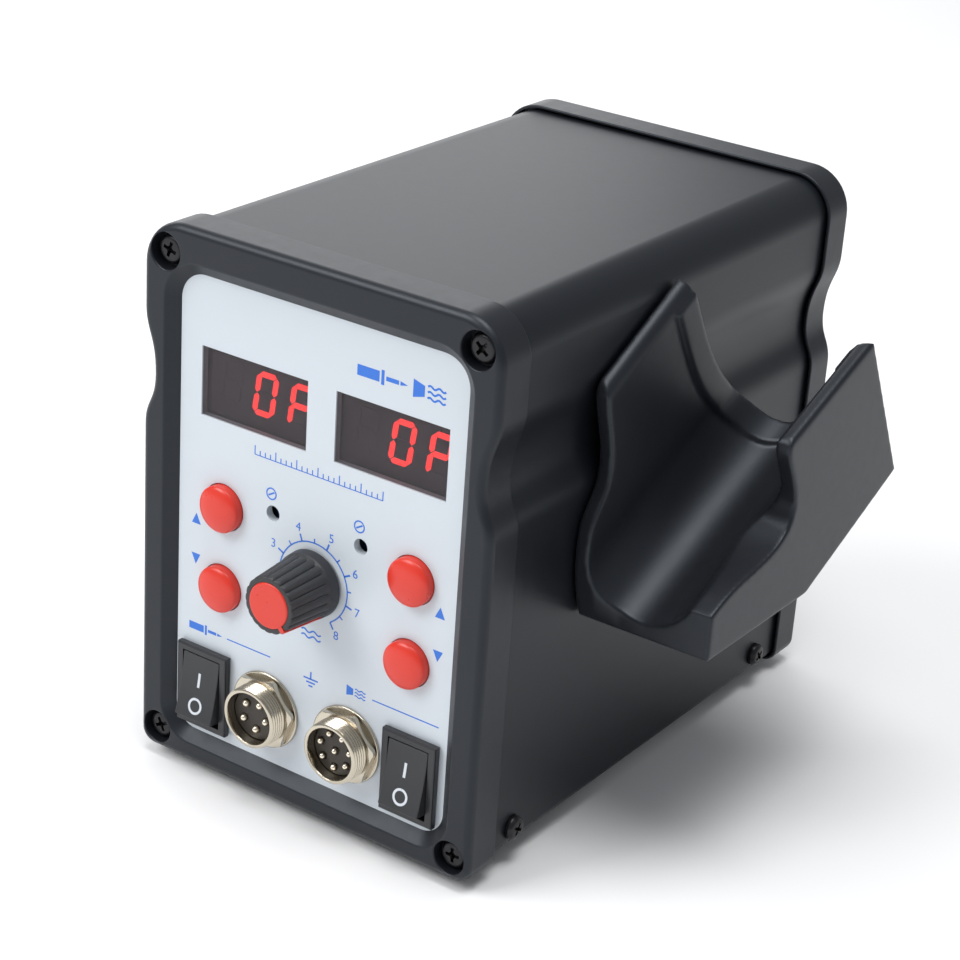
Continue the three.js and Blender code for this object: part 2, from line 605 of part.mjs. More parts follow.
function behindRearEnd(forward = 0, down = 0) {
  const [a, b, c] = REAR_PLANE;
  const across = b.clone().sub(a).normalize();
  const normal = across.clone().cross(c.clone().sub(a)).normalize();
  const up = normal.clone().cross(across);
  const size = 300;
  const block = new THREE.BoxGeometry(size, size, size).translate(0, 0, size / 2);
  block.applyMatrix4(new Matrix4().makeBasis(across, up, normal));
  const outer = solid(block.translate(a.x, a.y, a.z)).subtract(box(0, TROUGH.x, -400, 400, -400, 400));
  const inner = plate(rearSweepOutline(), 40, TROUGH.x, 0, 12);
  return join(outer, inner).translate([0, -forward, -down]);
}

// The trough: a round bottom along a rising axis, open upwards.
function troughSolid(r) {
  const rise = THREE.MathUtils.degToRad(TROUGH.rise);
  const long = 260;
  const round = new THREE.CylinderGeometry(r, r, long, 40);
  const tall = new THREE.BoxGeometry(2 * r, long, 120).translate(0, 0, 60);
  const axisZ = TROUGH.lipZ + TROUGH.r / Math.cos(rise);
  return join(...[round, tall].map((geometry) => solid(
    geometry.rotateX(rise).translate(TROUGH.x, TROUGH.lipY, axisZ))));
}

function makeCradle() {
  const [x0, x1] = CRADLE_X;
  const innerFloor = plate(innerWallOutline(), INNER_WALL_X - 2, TROUGH.x);
  const inFrontOfLip = box(INNER_WALL_X, TROUGH.x + 1, 0, TROUGH.lipY, 0, 200);
  const walls = join(
    plate(innerWallOutline(), x0, INNER_WALL_X, CRADLE_EDGE),
    innerFloor.subtract(inFrontOfLip),
    plate(outerWallOutline(), TROUGH.x - 1, x1, CRADLE_EDGE));
  const trough = join(
    troughSolid(TROUGH.r - COLLAR.height),
    troughSolid(TROUGH.r).subtract(behindRearEnd(COLLAR.forward, COLLAR.down)));
  const holes = CRADLE_SCREWS.map(({ y, z }) => crossRod(1.5, y, z, x0 - 1, x0 + 4.6));
  const cradle = cut(walls, behindRearEnd(), trough, ...holes);
  add('cradle', cradle, 'mouldedBlack');
}

// ---- Back and inside ----------------------------------------------------------------------------

const INLET = { x: -20, z: 34, halfW: 13.6, halfH: 10, flange: 2, proud: 2.6, depth: 18 };
const INLET_MOUTH = { halfW: 12, halfH: 8.2, depth: 14, bottomR: 1.5, topR: 4 };
const BLADES = { spots: [[-7, -2], [0, 2], [7, -2]], halfW: 1, halfH: 2, front: 3, back: 24 };
const FUSE = { x: 16, z: 34, r: 6, boreR: 4.8, flange: 1.6, back: 26, stemR: 3.2, capH: 7.5 };
const VENTS = { count: 9, pitch: 6, halfW: 1.3, z0: 66, z1: 104 };

function makeRear() {
  const face = REAR_Y + FRONT_Y;
  const sheet = slab(panelOutline(PANEL.tuck), face - PANEL.thick, face - 0.02);
  const slots = [];
  for (let i = 0; i < VENTS.count; i += 1) {
    const x = (i - (VENTS.count - 1) / 2) * VENTS.pitch;
    const slot = roundedPanel(VENTS.halfW, VENTS.z0, VENTS.z1, VENTS.halfW - 0.01, VENTS.halfW - 0.01);
    slots.push(slab(slot, face - 5, face + 5, 0, 2).translate([x, 0, 0]));
  }
  const inletOutline = rectangle(INLET.halfW + 0.1, INLET.halfH + 0.1, INLET.x, INLET.z);
  const inletHole = slab(inletOutline, face - 5, face + 5);
  const fuseHole = rod(FUSE.r + 0.1, face - 5, face + 5, FUSE.x, FUSE.z);
  add('rear_panel', cut(sheet, inletHole, fuseHole, ...slots), 'coatedSteel');

  const { halfW, halfH } = INLET;
  const flange = slab(
    rectangle(halfW + INLET.flange, halfH + INLET.flange, INLET.x, INLET.z), face, face + INLET.proud, 0.5);
  const body = slab(rectangle(halfW, halfH, INLET.x, INLET.z), face - INLET.depth, face + 1);
  const mouth = INLET_MOUTH;
  const outline = roundedPanel(
    mouth.halfW, INLET.z - mouth.halfH, INLET.z + mouth.halfH, mouth.bottomR, mouth.topR);
  const cavity = slab(outline, face - mouth.depth, face + 5).translate([INLET.x, 0, 0]);
  const blades = BLADES.spots.map(([x, z]) => slab(
    rectangle(BLADES.halfW, BLADES.halfH, INLET.x + x, INLET.z + z), face - BLADES.back, face - BLADES.front));
  add('power_inlet', join(cut(join(flange, body), cavity), ...blades), 'blackPlastic');

  const fuseRod = (r, y0, y1) => rod(r, face + y0, face + y1, FUSE.x, FUSE.z);
  const barrel = cut(
    join(fuseRod(FUSE.r, -FUSE.back, 1), fuseRod(FUSE.r + FUSE.flange, 0, FUSE.flange)),
    fuseRod(FUSE.boreR, 4 - FUSE.back, 5));
  add('fuse_holder', barrel, 'blackPlastic');
  const seat = face + FUSE.flange + 0.05;
  const top = face + FUSE.capH;
  const carrier = join(
    fuseRod(FUSE.stemR, 6 - FUSE.back, 3),
    turned([[0, seat], [FUSE.r, seat], [FUSE.r, top - 1.5], [FUSE.r - 1, top], [0, top]], FUSE.x, FUSE.z));
  const slot = slab(rectangle(FUSE.r, 0.7, FUSE.x, FUSE.z), top - 0.9, top + 1.5);
  add('fuse_cap', carrier.subtract(slot), 'blackPlastic');
}

const MAIN_BOARD = { halfW: 38, ys: [30, 76], lift: 6, thick: 1.6 };
const CORE = { xs: [-30, 22], ys: [88, 110], h: 44 };
const COIL = { xs: [-20, 12], ys: [82, 116], z0: 8, z1: 36 };

function makeInside() {
  const floor = BASE_Z + SHEET + 0.02;
  const { halfW, ys, lift, thick } = MAIN_BOARD;
  add('main_board', box(-halfW, halfW, ...ys, floor + lift, floor + lift + thick), 'circuitBoard');
  const core = box(...CORE.xs, ...CORE.ys, floor, floor + CORE.h);
  const coil = box(...COIL.xs, ...COIL.ys, floor + COIL.z0, floor + COIL.z1);
  add('transformer', join(core, coil), 'laminatedIron');
}

makeBezels();
makeCover();
makeBase();
makeScrews();
makeFrontPanel();
makeDisplays();
makeBoard();
makeButtons();
makeTrimmers();
makeKnob();
makeRockers();
makeSockets();
makeCradle();
makeRear();
makeInside();

// The origin goes to the bottom centre of the bounding box.
station.updateMatrixWorld(true);
const bounds = new THREE.Box3().setFromObject(station);
const middle = bounds.getCenter(new Vector3());
station.position.set(-middle.x, -middle.y, -bounds.min.z);
station.updateMatrixWorld(true);

export default station;
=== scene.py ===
"""Looks for a soldering and hot-air station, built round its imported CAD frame.

Shapes are drawn in the design's own millimetres: x = 0 on the case's middle plane, y = 0 on the face
of the front panel and z = 0 under the bezels. The front faces -Y. TO_ROW takes them to the row frame's
metres.
"""
import math

import bmesh
import bpy
from mathutils import Matrix, Vector


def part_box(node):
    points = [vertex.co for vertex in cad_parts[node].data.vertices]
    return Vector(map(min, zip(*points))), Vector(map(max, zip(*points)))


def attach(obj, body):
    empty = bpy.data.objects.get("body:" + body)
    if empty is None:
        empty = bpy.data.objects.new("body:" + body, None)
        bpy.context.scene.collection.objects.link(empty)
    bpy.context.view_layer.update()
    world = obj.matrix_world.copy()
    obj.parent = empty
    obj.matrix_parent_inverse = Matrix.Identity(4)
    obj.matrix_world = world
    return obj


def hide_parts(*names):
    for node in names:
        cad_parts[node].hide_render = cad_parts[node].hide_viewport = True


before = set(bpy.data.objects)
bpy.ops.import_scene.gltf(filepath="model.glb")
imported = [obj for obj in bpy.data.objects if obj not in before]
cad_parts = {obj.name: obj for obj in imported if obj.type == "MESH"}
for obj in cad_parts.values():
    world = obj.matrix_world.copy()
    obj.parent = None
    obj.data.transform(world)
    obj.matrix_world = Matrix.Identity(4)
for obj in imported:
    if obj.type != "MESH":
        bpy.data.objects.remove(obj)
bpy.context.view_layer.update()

# ---- The design's frame and driving dimensions, in millimetres -----------------------------------

MM = 0.001
WELD = 1e-4
FRONT_Y = -2.6
BEZEL_D = 10.5
bezel_low, bezel_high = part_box("front_bezel")
ORIGIN = Vector(((bezel_low.x + bezel_high.x) / 2, bezel_low.y - FRONT_Y * MM, bezel_low.z))
TO_ROW = Matrix.Translation(ORIGIN) @ Matrix.Scale(MM, 4)


def span(node):
    """A CAD node's lowest and highest corners in the design's millimetres."""
    low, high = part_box(node)
    return (low - ORIGIN) / MM, (high - ORIGIN) / MM


def middle(node):
    low, high = span(node)
    return (low + high) / 2


CASE_W = (bezel_high.x - bezel_low.x) / MM
CASE_H = (bezel_high.z - bezel_low.z) / MM
REAR_Y = span("rear_bezel")[1].y
TOP_R, BOTTOM_R = 11, 4
WAVE_DEPTH = 3
WAVE_Z = (84, 97, 103, 113)
EDGE_R = 2
COVER_INSET, SHEET = 1.4, 1.2

TUCK = 1.6
PANEL_LOW, PANEL_HIGH = span("front_panel")
PANEL = {"half": PANEL_HIGH.x - TUCK, "z0": PANEL_LOW.z + TUCK, "z1": PANEL_HIGH.z - TUCK}
PANEL_TOP_R, PANEL_BOTTOM_R = 7, 6
SLOPE_W = 3
RECESS = -FRONT_Y

CAMERA = {"azimuth": 33.98, "elevation": 24.26, "roll": 3.92, "distance": 0.6, "lens": 91.78}
CAMERA_AIM = (-1.0, 66.3, 61.8)
LIGHT_AIM = (0, 70, 60)

SIDES = ("left", "right")
ROWS = ("upper", "lower")
CORNERS = ("top_left", "top_right", "bottom_left", "bottom_right")


# ---- Camera --------------------------------------------------------------------------------------

def make_camera():
    azimuth, elevation, roll = (math.radians(CAMERA[k]) for k in ("azimuth", "elevation", "roll"))
    aim = TO_ROW @ Vector(CAMERA_AIM)
    back = Vector((math.sin(azimuth) * math.cos(elevation),
                   -math.cos(azimuth) * math.cos(elevation),
                   math.sin(elevation)))
    level = Vector((math.cos(azimuth), math.sin(azimuth), 0))
    upright = back.cross(level)
    right = level * math.cos(roll) + upright * math.sin(roll)
    up = back.cross(right)
    data = bpy.data.cameras.new("camera")
    data.sensor_width = 36
    data.lens = CAMERA["lens"]
    camera = bpy.data.objects.new("camera", data)
    camera.matrix_world = Matrix((right, up, back)).transposed().to_4x4()
    camera.location = aim + back * CAMERA["distance"]
    bpy.context.scene.collection.objects.link(camera)
    bpy.context.scene.camera = camera


# ---- Outlines: lists of two-number points --------------------------------------------------------

def arc(cx, cy, r, start, end, steps=12):
    """Points on a circle between two angles in degrees."""
    angles = [math.radians(start + (end - start) * i / steps) for i in range(steps + 1)]
    return [(cx + r * math.cos(a), cy + r * math.sin(a)) for a in angles]


def bezier(a, b, c, d, steps=14):
    """A cubic curve from a to d, without its first point."""
    points = []
    for i in range(1, steps + 1):
        t = i / steps
        weights = ((1 - t) ** 3, 3 * t * (1 - t) ** 2, 3 * t * t * (1 - t), t ** 3)
        points.append(tuple(sum(w * p[k] for w, p in zip(weights, (a, b, c, d))) for k in (0, 1)))
    return points


def mirrored(right):
    return right + [(-x, z) for x, z in reversed(right)]


def rectangle(half_w, half_h, x=0, z=0):
    corners = ((-half_w, -half_h), (half_w, -half_h), (half_w, half_h), (-half_w, half_h))
    return [(x + a, z + b) for a, b in corners]


def softened(points, closed=False, steps=5):
    """An outline whose corners, given as (a, b, radius), are rounded."""
    result = []
    for i, point in enumerate(points):
        corner = Vector(point[:2])
        inner = closed or 0 < i < len(points) - 1
        if len(point) < 3 or not inner:
            result.append(tuple(corner))
            continue
        before = Vector(points[i - 1][:2]) - corner
        after = Vector(points[(i + 1) % len(points)][:2]) - corner
        half = before.angle(after) / 2
        reach = min(point[2] / math.tan(half), 0.49 * before.length, 0.49 * after.length)
        before, after = before.normalized(), after.normalized()
        centre = corner + (before + after).normalized() * reach / math.cos(half)
        start, end = corner + before * reach - centre, corner + after * reach - centre
        turns = [start.slerp(end, k / steps).normalized() for k in range(steps + 1)]
        result += [tuple(centre + turn * start.length) for turn in turns]
    return result


def case_outline(inset):
    """The case seen from the front: round corners and a shallow wave high on each side."""
    half = CASE_W / 2 - inset
    hollow = half - WAVE_DEPTH
    low, deep_low, deep_high, high = WAVE_Z
    bottom_r = max(BOTTOM_R - inset, 1)
    top_r = TOP_R - inset
    top = CASE_H - inset
    right = arc(half - bottom_r, inset + bottom_r, bottom_r, -90, 0)
    right.append((half, low))
    right += bezier((half, low), (half, low + 6), (hollow, deep_low - 7), (hollow, deep_low))
    right += bezier((hollow, deep_low), (hollow, deep_high + 3), (half, high - 6), (half, high))
    right += arc(half - top_r, top - top_r, top_r, 0, 90)
    return mirrored(right)


def panel_outline(grow):
    half, z0, z1 = PANEL["half"] + grow, PANEL["z0"] - grow, PANEL["z1"] + grow
    bottom_r, top_r = PANEL_BOTTOM_R + grow, PANEL_TOP_R + grow
    return mirrored(arc(half - bottom_r, z0 + bottom_r, bottom_r, -90, 0)
                    + arc(half - top_r, z1 - top_r, top_r, 0, 90))


# ---- Solids --------------------------------------------------------------------------------------

def loft(rings):
    """A closed solid through rings of points with the same count, capped at both ends."""
    bm = bmesh.new()
    loops = [[bm.verts.new(p) for p in points] for points in rings]
    for a, b in zip(loops, loops[1:]):
        for i in range(len(a)):
            j = (i + 1) % len(a)
            bm.faces.new((a[i], a[j], b[j], b[i]))
    bm.faces.new(loops[0])
    bm.faces.new(loops[-1])
    bmesh.ops.recalc_face_normals(bm, faces=bm.faces)
    return bm


def ring(outline, y):
    return [(x, y, z) for x, z in outline]


def slab(outline, y0, y1):
    """An outline in x and z, extruded along y."""
    return loft([ring(outline, y0), ring(outline, y1)])


def plate(outline, x0, x1):
    """An outline in y and z, extruded along x."""
    return loft([[(x, y, z) for y, z in outline] for x in (x0, x1)])


def block(x0, x1, y0, y1, z0, z1):
    return slab([(x0, z0), (x1, z0), (x1, z1), (x0, z1)], y0, y1)


def turned(profile, x=0, z=0, segments=64, closed=False):
    """A turned piece about an axis along y. The profile lists (radius, y)."""
    bm = bmesh.new()
    rings = []
    for r, y in profile:
        if r == 0:
            rings.append([bm.verts.new((x, y, z))])
        else:
            circle = arc(0, 0, r, 0, 360, segments)[:-1]
            rings.append([bm.verts.new((x + a, y, z + b)) for a, b in circle])
    if closed:
        rings.append(rings[0])
    for a, b in zip(rings, rings[1:]):
        for i in range(segments):
            j = i + 1
            corners = (a[i % len(a)], a[j % len(a)], b[j % len(b)], b[i % len(b)])
            corners = list(dict.fromkeys(corners))
            if len(corners) > 2:
                bm.faces.new(corners)
    bmesh.ops.recalc_face_normals(bm, faces=bm.faces)
    return bm


def merged(*solids):
    """Several solids in one mesh."""
    bm = bmesh.new()
    for part in solids:
        mesh = bpy.data.meshes.new("part")
        part.to_mesh(mesh)
        part.free()
        bm.from_mesh(mesh)
        bpy.data.meshes.remove(mesh)
    return bm


def bevelled(bm, width, segments=3, angle=30):
    """Rounds every edge sharper than an angle."""
    limit = math.radians(angle)
    sharp = [e for e in bm.edges if len(e.link_faces) == 2 and e.calc_face_angle() > limit]
    bmesh.ops.bevel(bm, geom=sharp, offset=width, segments=segments, profile=0.5, affect="EDGES",
                    clamp_overlap=True)
    return bm


def as_object(bm, name="solid"):
    mesh = bpy.data.meshes.new(name)
    bm.to_mesh(mesh)
    bm.free()
    obj = bpy.data.objects.new(name, mesh)
    bpy.context.scene.collection.objects.link(obj)
    return obj


def discarded(obj):
    """Removes an object and the mesh or curve it shows."""
    data = obj.data
    bpy.data.objects.remove(obj)
    keeper = bpy.data.meshes if isinstance(data, bpy.types.Mesh) else bpy.data.curves
    keeper.remove(data)


def baked(obj):
    """The mesh that an object shows, with its modifiers applied. The object goes."""
    bpy.context.view_layer.update()
    shown = obj.evaluated_get(bpy.context.evaluated_depsgraph_get())
    bm = bmesh.new()
    bm.from_mesh(shown.to_mesh())
    shown.to_mesh_clear()
    discarded(obj)
    return bm


def carved(base, *cutters, operation="DIFFERENCE"):
    """One solid with others cut from it, or joined to it."""
    body = as_object(base)
    tools = [as_object(cutter) for cutter in cutters]
    for tool in tools:
        step = body.modifiers.new("carve", "BOOLEAN")
        step.operation = operation
        step.solver = "EXACT"
        step.object = tool
    result = baked(body)
    for tool in tools:
        discarded(tool)
    bmesh.ops.remove_doubles(result, verts=result.verts, dist=WELD)
    return result


def piece(name, bm, body, material, replaces=(), smooth=35):
    """A finished piece: in the row frame, shaded smooth up to an angle, and riding on its body."""
    bmesh.ops.recalc_face_normals(bm, faces=bm.faces)
    obj = as_object(bm, name)
    obj.data.transform(TO_ROW)
    obj.data.materials.append(material)
    obj.data.shade_smooth()
    obj.data.set_sharp_from_angle(angle=math.radians(smooth))
    weighted = obj.modifiers.new("weighted_normals", "WEIGHTED_NORMAL")
    weighted.keep_sharp = True
    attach(obj, body)
    if replaces:
        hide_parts(*replaces)
    return obj


def finish_node(node, material, bevel=0.0):
    """A CAD node that stays: its material, and its sharp edges softened."""
    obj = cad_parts[node]
    obj.data.materials.clear()
    obj.data.materials.append(material)
    if bevel:
        step = obj.modifiers.new("soft_edges", "BEVEL")
        step.width = bevel * MM
        step.segments = 3
        step.limit_method = "ANGLE"
        step.angle_limit = math.radians(40)
        weighted = obj.modifiers.new("weighted_normals", "WEIGHTED_NORMAL")
        weighted.keep_sharp = True


# ---- Materials -----------------------------------------------------------------------------------

def noise(nodes, coords, scale, detail=2.0, roughness=0.5):
    texture = nodes.new("ShaderNodeTexNoise")
    texture.inputs["Scale"].default_value = scale
    texture.inputs["Detail"].default_value = detail
    texture.inputs["Roughness"].default_value = roughness
    nodes.id_data.links.new(coords, texture.inputs["Vector"])
    return texture.outputs["Fac"]


def finish(name, colour, roughness, metallic=0.0, grain=0.0, grain_scale=2500.0, mottle=0.12,
           mottle_scale=120.0, spread=0.08, **shader_values):
    """A procedural finish: mottled colour, uneven roughness and a fine grain in the surface."""
    material = bpy.data.materials.new(name)
    material.use_nodes = True
    nodes, links = material.node_tree.nodes, material.node_tree.links
    shader = nodes["Principled BSDF"]
    coords = nodes.new("ShaderNodeTexCoord").outputs["Object"]

    mix = nodes.new("ShaderNodeMix")
    mix.data_type = "RGBA"
    mix.inputs["A"].default_value = (*(c * (1 - mottle) for c in colour), 1)
    mix.inputs["B"].default_value = (*(min(c * (1 + mottle), 1) for c in colour), 1)
    links.new(noise(nodes, coords, mottle_scale, 4), mix.inputs["Factor"])
    links.new(mix.outputs["Result"], shader.inputs["Base Color"])

    span_of_roughness = nodes.new("ShaderNodeMapRange")
    span_of_roughness.inputs["To Min"].default_value = roughness - spread
    span_of_roughness.inputs["To Max"].default_value = roughness + spread
    links.new(noise(nodes, coords, mottle_scale * 3, 3), span_of_roughness.inputs["Value"])
    links.new(span_of_roughness.outputs["Result"], shader.inputs["Roughness"])

    if grain:
        bump = nodes.new("ShaderNodeBump")
        bump.inputs["Strength"].default_value = grain
        bump.inputs["Distance"].default_value = 0.0001
        links.new(noise(nodes, coords, grain_scale, 3, 0.6), bump.inputs["Height"])
        links.new(bump.outputs["Normal"], shader.inputs["Normal"])
    shader.inputs["Metallic"].default_value = metallic
    for key, value in shader_values.items():
        shader.inputs[key.replace("_", " ")].default_value = value
    return material


COOL = (0.84, 0.92, 1.0, 1)
RED_GLOW = (1.0, 0.035, 0.03, 1)
MATERIALS = {
    "moulded_black": finish("moulded_black", (0.011, 0.012, 0.0155), 0.38, grain=0.2, grain_scale=3200,
                            spread=0.04, Specular_IOR_Level=0.38, Specular_Tint=COOL),
    "cover_paint": finish("cover_paint", (0.007, 0.008, 0.0108), 0.38, grain=0.04, grain_scale=2600,
                          mottle=0.05, spread=0.012, Specular_IOR_Level=0.35, Specular_Tint=COOL),
    "printed_panel": finish("printed_panel", (0.61, 0.66, 0.71), 0.36, mottle=0.015, mottle_scale=40,
                            grain=0.05),
    "display_black": finish("display_black", (0.05, 0.04, 0.046), 0.6, mottle=0.05, spread=0.03),
    "red_plastic": finish("red_plastic", (0.68, 0.035, 0.018), 0.3, mottle=0.05, mottle_scale=60,
                          grain=0.06, Subsurface_Weight=0.08,
                          Subsurface_Radius=(0.002, 0.0006, 0.0004), Subsurface_Scale=0.6),
    "knob_black": finish("knob_black", (0.024, 0.025, 0.028), 0.45, grain=0.3, grain_scale=4000),
    "switch_black": finish("switch_black", (0.02, 0.021, 0.024), 0.38, grain=0.15, grain_scale=3500),
    "nickel": finish("nickel", (0.55, 0.5, 0.41), 0.2, metallic=1.0, mottle=0.05, spread=0.05,
                     grain=0.03),
    "socket_insert": finish("socket_insert", (0.03, 0.024, 0.018), 0.5, grain=0.2),
    "contact_metal": finish("contact_metal", (0.82, 0.76, 0.64), 0.22, metallic=1.0, mottle=0.04,
                            spread=0.05),
    "black_screw": finish("black_screw", (0.018, 0.018, 0.02), 0.3, metallic=0.5, grain=0.15,
                          grain_scale=5000),
    "zinc_steel": finish("zinc_steel", (0.5, 0.5, 0.49), 0.35, metallic=1.0, grain=0.1),
    "foot_rubber": finish("foot_rubber", (0.014, 0.014, 0.015), 0.8, grain=0.5, grain_scale=2200),
    "circuit_board": finish("circuit_board", (0.015, 0.11, 0.045), 0.45, mottle=0.25, mottle_scale=260),
    "trimmer_plastic": finish("trimmer_plastic", (0.015, 0.07, 0.24), 0.4, grain=0.1),
    "trimmer_brass": finish("trimmer_brass", (0.72, 0.5, 0.2), 0.3, metallic=1.0, grain=0.1),
    "transformer_iron": finish("transformer_iron", (0.1, 0.1, 0.105), 0.6, metallic=0.6, grain=0.5,
                               grain_scale=900),
    "fitting_black": finish("fitting_black", (0.022, 0.022, 0.025), 0.42, grain=0.25, grain_scale=3000),
    "blue_ink": finish("blue_ink", (0.03, 0.17, 0.66), 0.5, mottle=0.06, mottle_scale=500),
    "white_ink": finish("white_ink", (0.62, 0.65, 0.7), 0.5, mottle=0.05, mottle_scale=500),
    "lit_segment": finish("lit_segment", (0.6, 0.02, 0.02), 0.5, mottle=0.05,
                          Emission_Color=RED_GLOW, Emission_Strength=3.2),
    "dark_segment": finish("dark_segment", (0.045, 0.03, 0.034), 0.5, mottle=0.05),
    "smoked_window": finish("smoked_window", (0.05, 0.038, 0.046), 0.12, mottle=0.04, spread=0.03,
                            Alpha=0.42),
    "floor_paint": finish("floor_paint", (0.88, 0.88, 0.88), 0.7, mottle=0.005, mottle_scale=3),
}


# ---- Case ----------------------------------------------------------------------------------------

SCREW_BORE_R = {"top": 4.3, "bottom": 4.1}
SCREW_SHANK_R = 1.8
SCREW_SEAT = 3.6
MAIN_HEAD = {"head_r": 3.55, "head_h": 2.1}
SIDE_HEAD = {"head_r": 2.95, "head_h": 1.9}
FOOT = {"bore_r": 2.2, "bore_depth": 1.4}


def flared_mouth(edge, lip_r, steep):
    """The start of a cutter's profile: it opens out round the lip of a hole in the face y = 0."""
    lip = softened([(edge + 9, 0), (edge, 0, lip_r), steep])[1:-1]
    return [(lip[0][0], -1)] + lip


def bezel_solid(groove_depth, groove_inset):
    """A bezel with its outer face at y = 0 and its depth running back."""
    rounding = softened([(9, 0), (0, 0, EDGE_R), (0, BEZEL_D, 0.4), (9, BEZEL_D)], steps=7)[1:-1]
    base = loft([ring(case_outline(inset), y) for inset, y in rounding])
    mouth = flared_mouth(SLOPE_W, 0.9, (0, RECESS)) + [(0, RECESS), (0, RECESS + 0.02)]
    cutters = [
        loft([ring(panel_outline(grow), y) for grow, y in mouth]),
        slab(panel_outline(TUCK + 0.1), RECESS, BEZEL_D + 1),
        slab(case_outline(groove_inset), BEZEL_D - groove_depth, BEZEL_D + 1),
    ]
    shank = [(0, 2), (SCREW_SHANK_R, 2), (SCREW_SHANK_R, BEZEL_D + 1), (0, BEZEL_D + 1)]
    for corner in CORNERS:
        at = middle(f"front_screw_{corner}")
        bore_r = SCREW_BORE_R[corner.split("_")[0]]
        bore = flared_mouth(bore_r, 0.45, (bore_r, SCREW_SEAT))
        cutters.append(turned([(0, -1)] + bore + [(bore_r, SCREW_SEAT), (0, SCREW_SEAT)], at.x, at.z, 48))
        cutters.append(turned(shank, at.x, at.z, 16))
    return carved(base, *cutters)


def turn_round(bm):
    """Front to back, about the case's middle plane."""
    bm.transform(Matrix.Translation((0, FRONT_Y + REAR_Y, 0)) @ Matrix.Rotation(math.pi, 4, "Z"))
    return bm


def make_bezels():
    black = MATERIALS["moulded_black"]
    front = bezel_solid(2.4, COVER_INSET - 0.15)
    front.transform(Matrix.Translation((0, FRONT_Y, 0)))
    piece("front_bezel_form", front, "case", black, ["front_bezel"])
    rear = bezel_solid(3, COVER_INSET - 0.7)
    rear.transform(Matrix.Translation((0, FRONT_Y, 0)))
    piece("rear_bezel_form", turn_round(rear), "case", black, ["rear_bezel"])


def make_cover():
    low, high = span("cover")
    floor = low.z
    outer = [p for p in case_outline(COVER_INSET) if p[1] >= floor]
    inner = [p for p in case_outline(COVER_INSET + SHEET) if p[1] >= floor]
    section = [(outer[0][0], floor)] + outer[1:-1] + [(outer[-1][0], floor)] + inner[::-1]
    shell = slab(section, low.y, high.y)
    piece("cover_form", shell, "case", MATERIALS["cover_paint"], ["cover"])


def make_screw(node, drives, spin, head_r, head_h):
    """A cross-recess pan head over its shank, which drives towards one side of the case."""
    shank_r, shank = 1.4, 4
    profile = softened([(0, 0), (head_r - 0.6, 0.12, 1.0), (head_r, head_h * 0.55, 0.7),
                        (head_r, head_h, 0.2), (shank_r, head_h), (shank_r, head_h + shank),
                        (0, head_h + shank)])
    head = turned(profile, segments=48)
    arm, slot, depth = head_r * 0.52, head_r * 0.12, head_h * 0.65
    cross = [block(-a, a, -1, depth, -b, b) for a, b in ((arm, slot), (slot, arm))]
    cone = turned([(0, -1), (slot * 2.1, -1), (slot * 2.1, 0), (0, depth + 0.4)], segments=16)
    screw = carved(head, *cross, cone)
    screw.transform(Matrix.Rotation(math.radians(spin), 4, "Y"))
    low, high = span(node)
    centre = (low + high) / 2
    tip = {"back": (centre.x, low.y, centre.z), "front": (centre.x, high.y, centre.z),
           "left": (high.x, centre.y, centre.z), "right": (low.x, centre.y, centre.z)}[drives]
    angle = {"back": 0, "front": 180, "left": 90, "right": -90}[drives]
    screw.transform(Matrix.Translation(tip) @ Matrix.Rotation(math.radians(angle), 4, "Z"))
    piece(f"{node}_form", screw, "case", MATERIALS["black_screw"], [node])


def make_screws():
    for i, corner in enumerate(CORNERS):
        make_screw(f"front_screw_{corner}", "back", 18 + 23 * i, **MAIN_HEAD)
        make_screw(f"rear_screw_{corner}", "front", 40 + 31 * i, **MAIN_HEAD)
    for i, end in enumerate(("front", "rear")):
        make_screw(f"side_screw_{end}_right", "left", 30 + 25 * i, **SIDE_HEAD)
        make_screw(f"side_screw_{end}_left", "right", 10 + 40 * i, **SIDE_HEAD)
    for node in ("cradle_screw_1", "cradle_screw_2"):
        finish_node(node, MATERIALS["zinc_steel"])


def make_foot(node):
    """A rubber foot: a low cone that widens upwards, with a screw's hollow underneath."""
    low, high = span(node)
    r, height = (high.x - low.x) / 2, high.z - low.z
    bore_r, bore_depth = FOOT["bore_r"], FOOT["bore_depth"]
    foot = turned(softened([(0, bore_depth), (bore_r, bore_depth), (bore_r, 0, 0.3), (r - 1, 0, 0.5),
                            (r, height), (0, height)]), segments=48)
    under = Matrix.Translation(((low.x + high.x) / 2, (low.y + high.y) / 2, low.z))
    foot.transform(under @ Matrix.Rotation(math.pi / 2, 4, "X"))
    piece(f"{node}_form", foot, "case", MATERIALS["foot_rubber"], [node])


def make_base():
    finish_node("base_plate", MATERIALS["cover_paint"], 0.2)
    for end in ("front", "rear"):
        for side in SIDES:
            make_foot(f"foot_{end}_{side}")


# ---- Front panel and its printing ----------------------------------------------------------------

PANEL_FACE = PANEL_LOW.y
HOLE_R = {"button": 5.9, "trimmer": 1.9, "socket": 7.8, "knob": 3.6}
ROCKER_HOLE = (6.6, 9.6)
KNOB_AT = middle("knob_body")
DIAL = {"r": 9.8, "long": 1.8, "short": 1.1, "number_r": 13.2, "number_h": 3.1, "first": 237.7,
        "step": -42.17, "count": 8}
LABEL_Z = 35.5
ARROWS = ((-34.5, 63.6, True), (-34.5, 53.2, False), (35.7, 63.6, True), (35.7, 52.9, False))


def through(outline):
    return slab(outline, -1, 3)


def drilled(fitting, spot):
    """The cutter for a fitting's round hole."""
    r = HOLE_R[fitting]
    return turned([(0, -1), (r, -1), (r, 3), (0, 3)], spot.x, spot.z, 64)


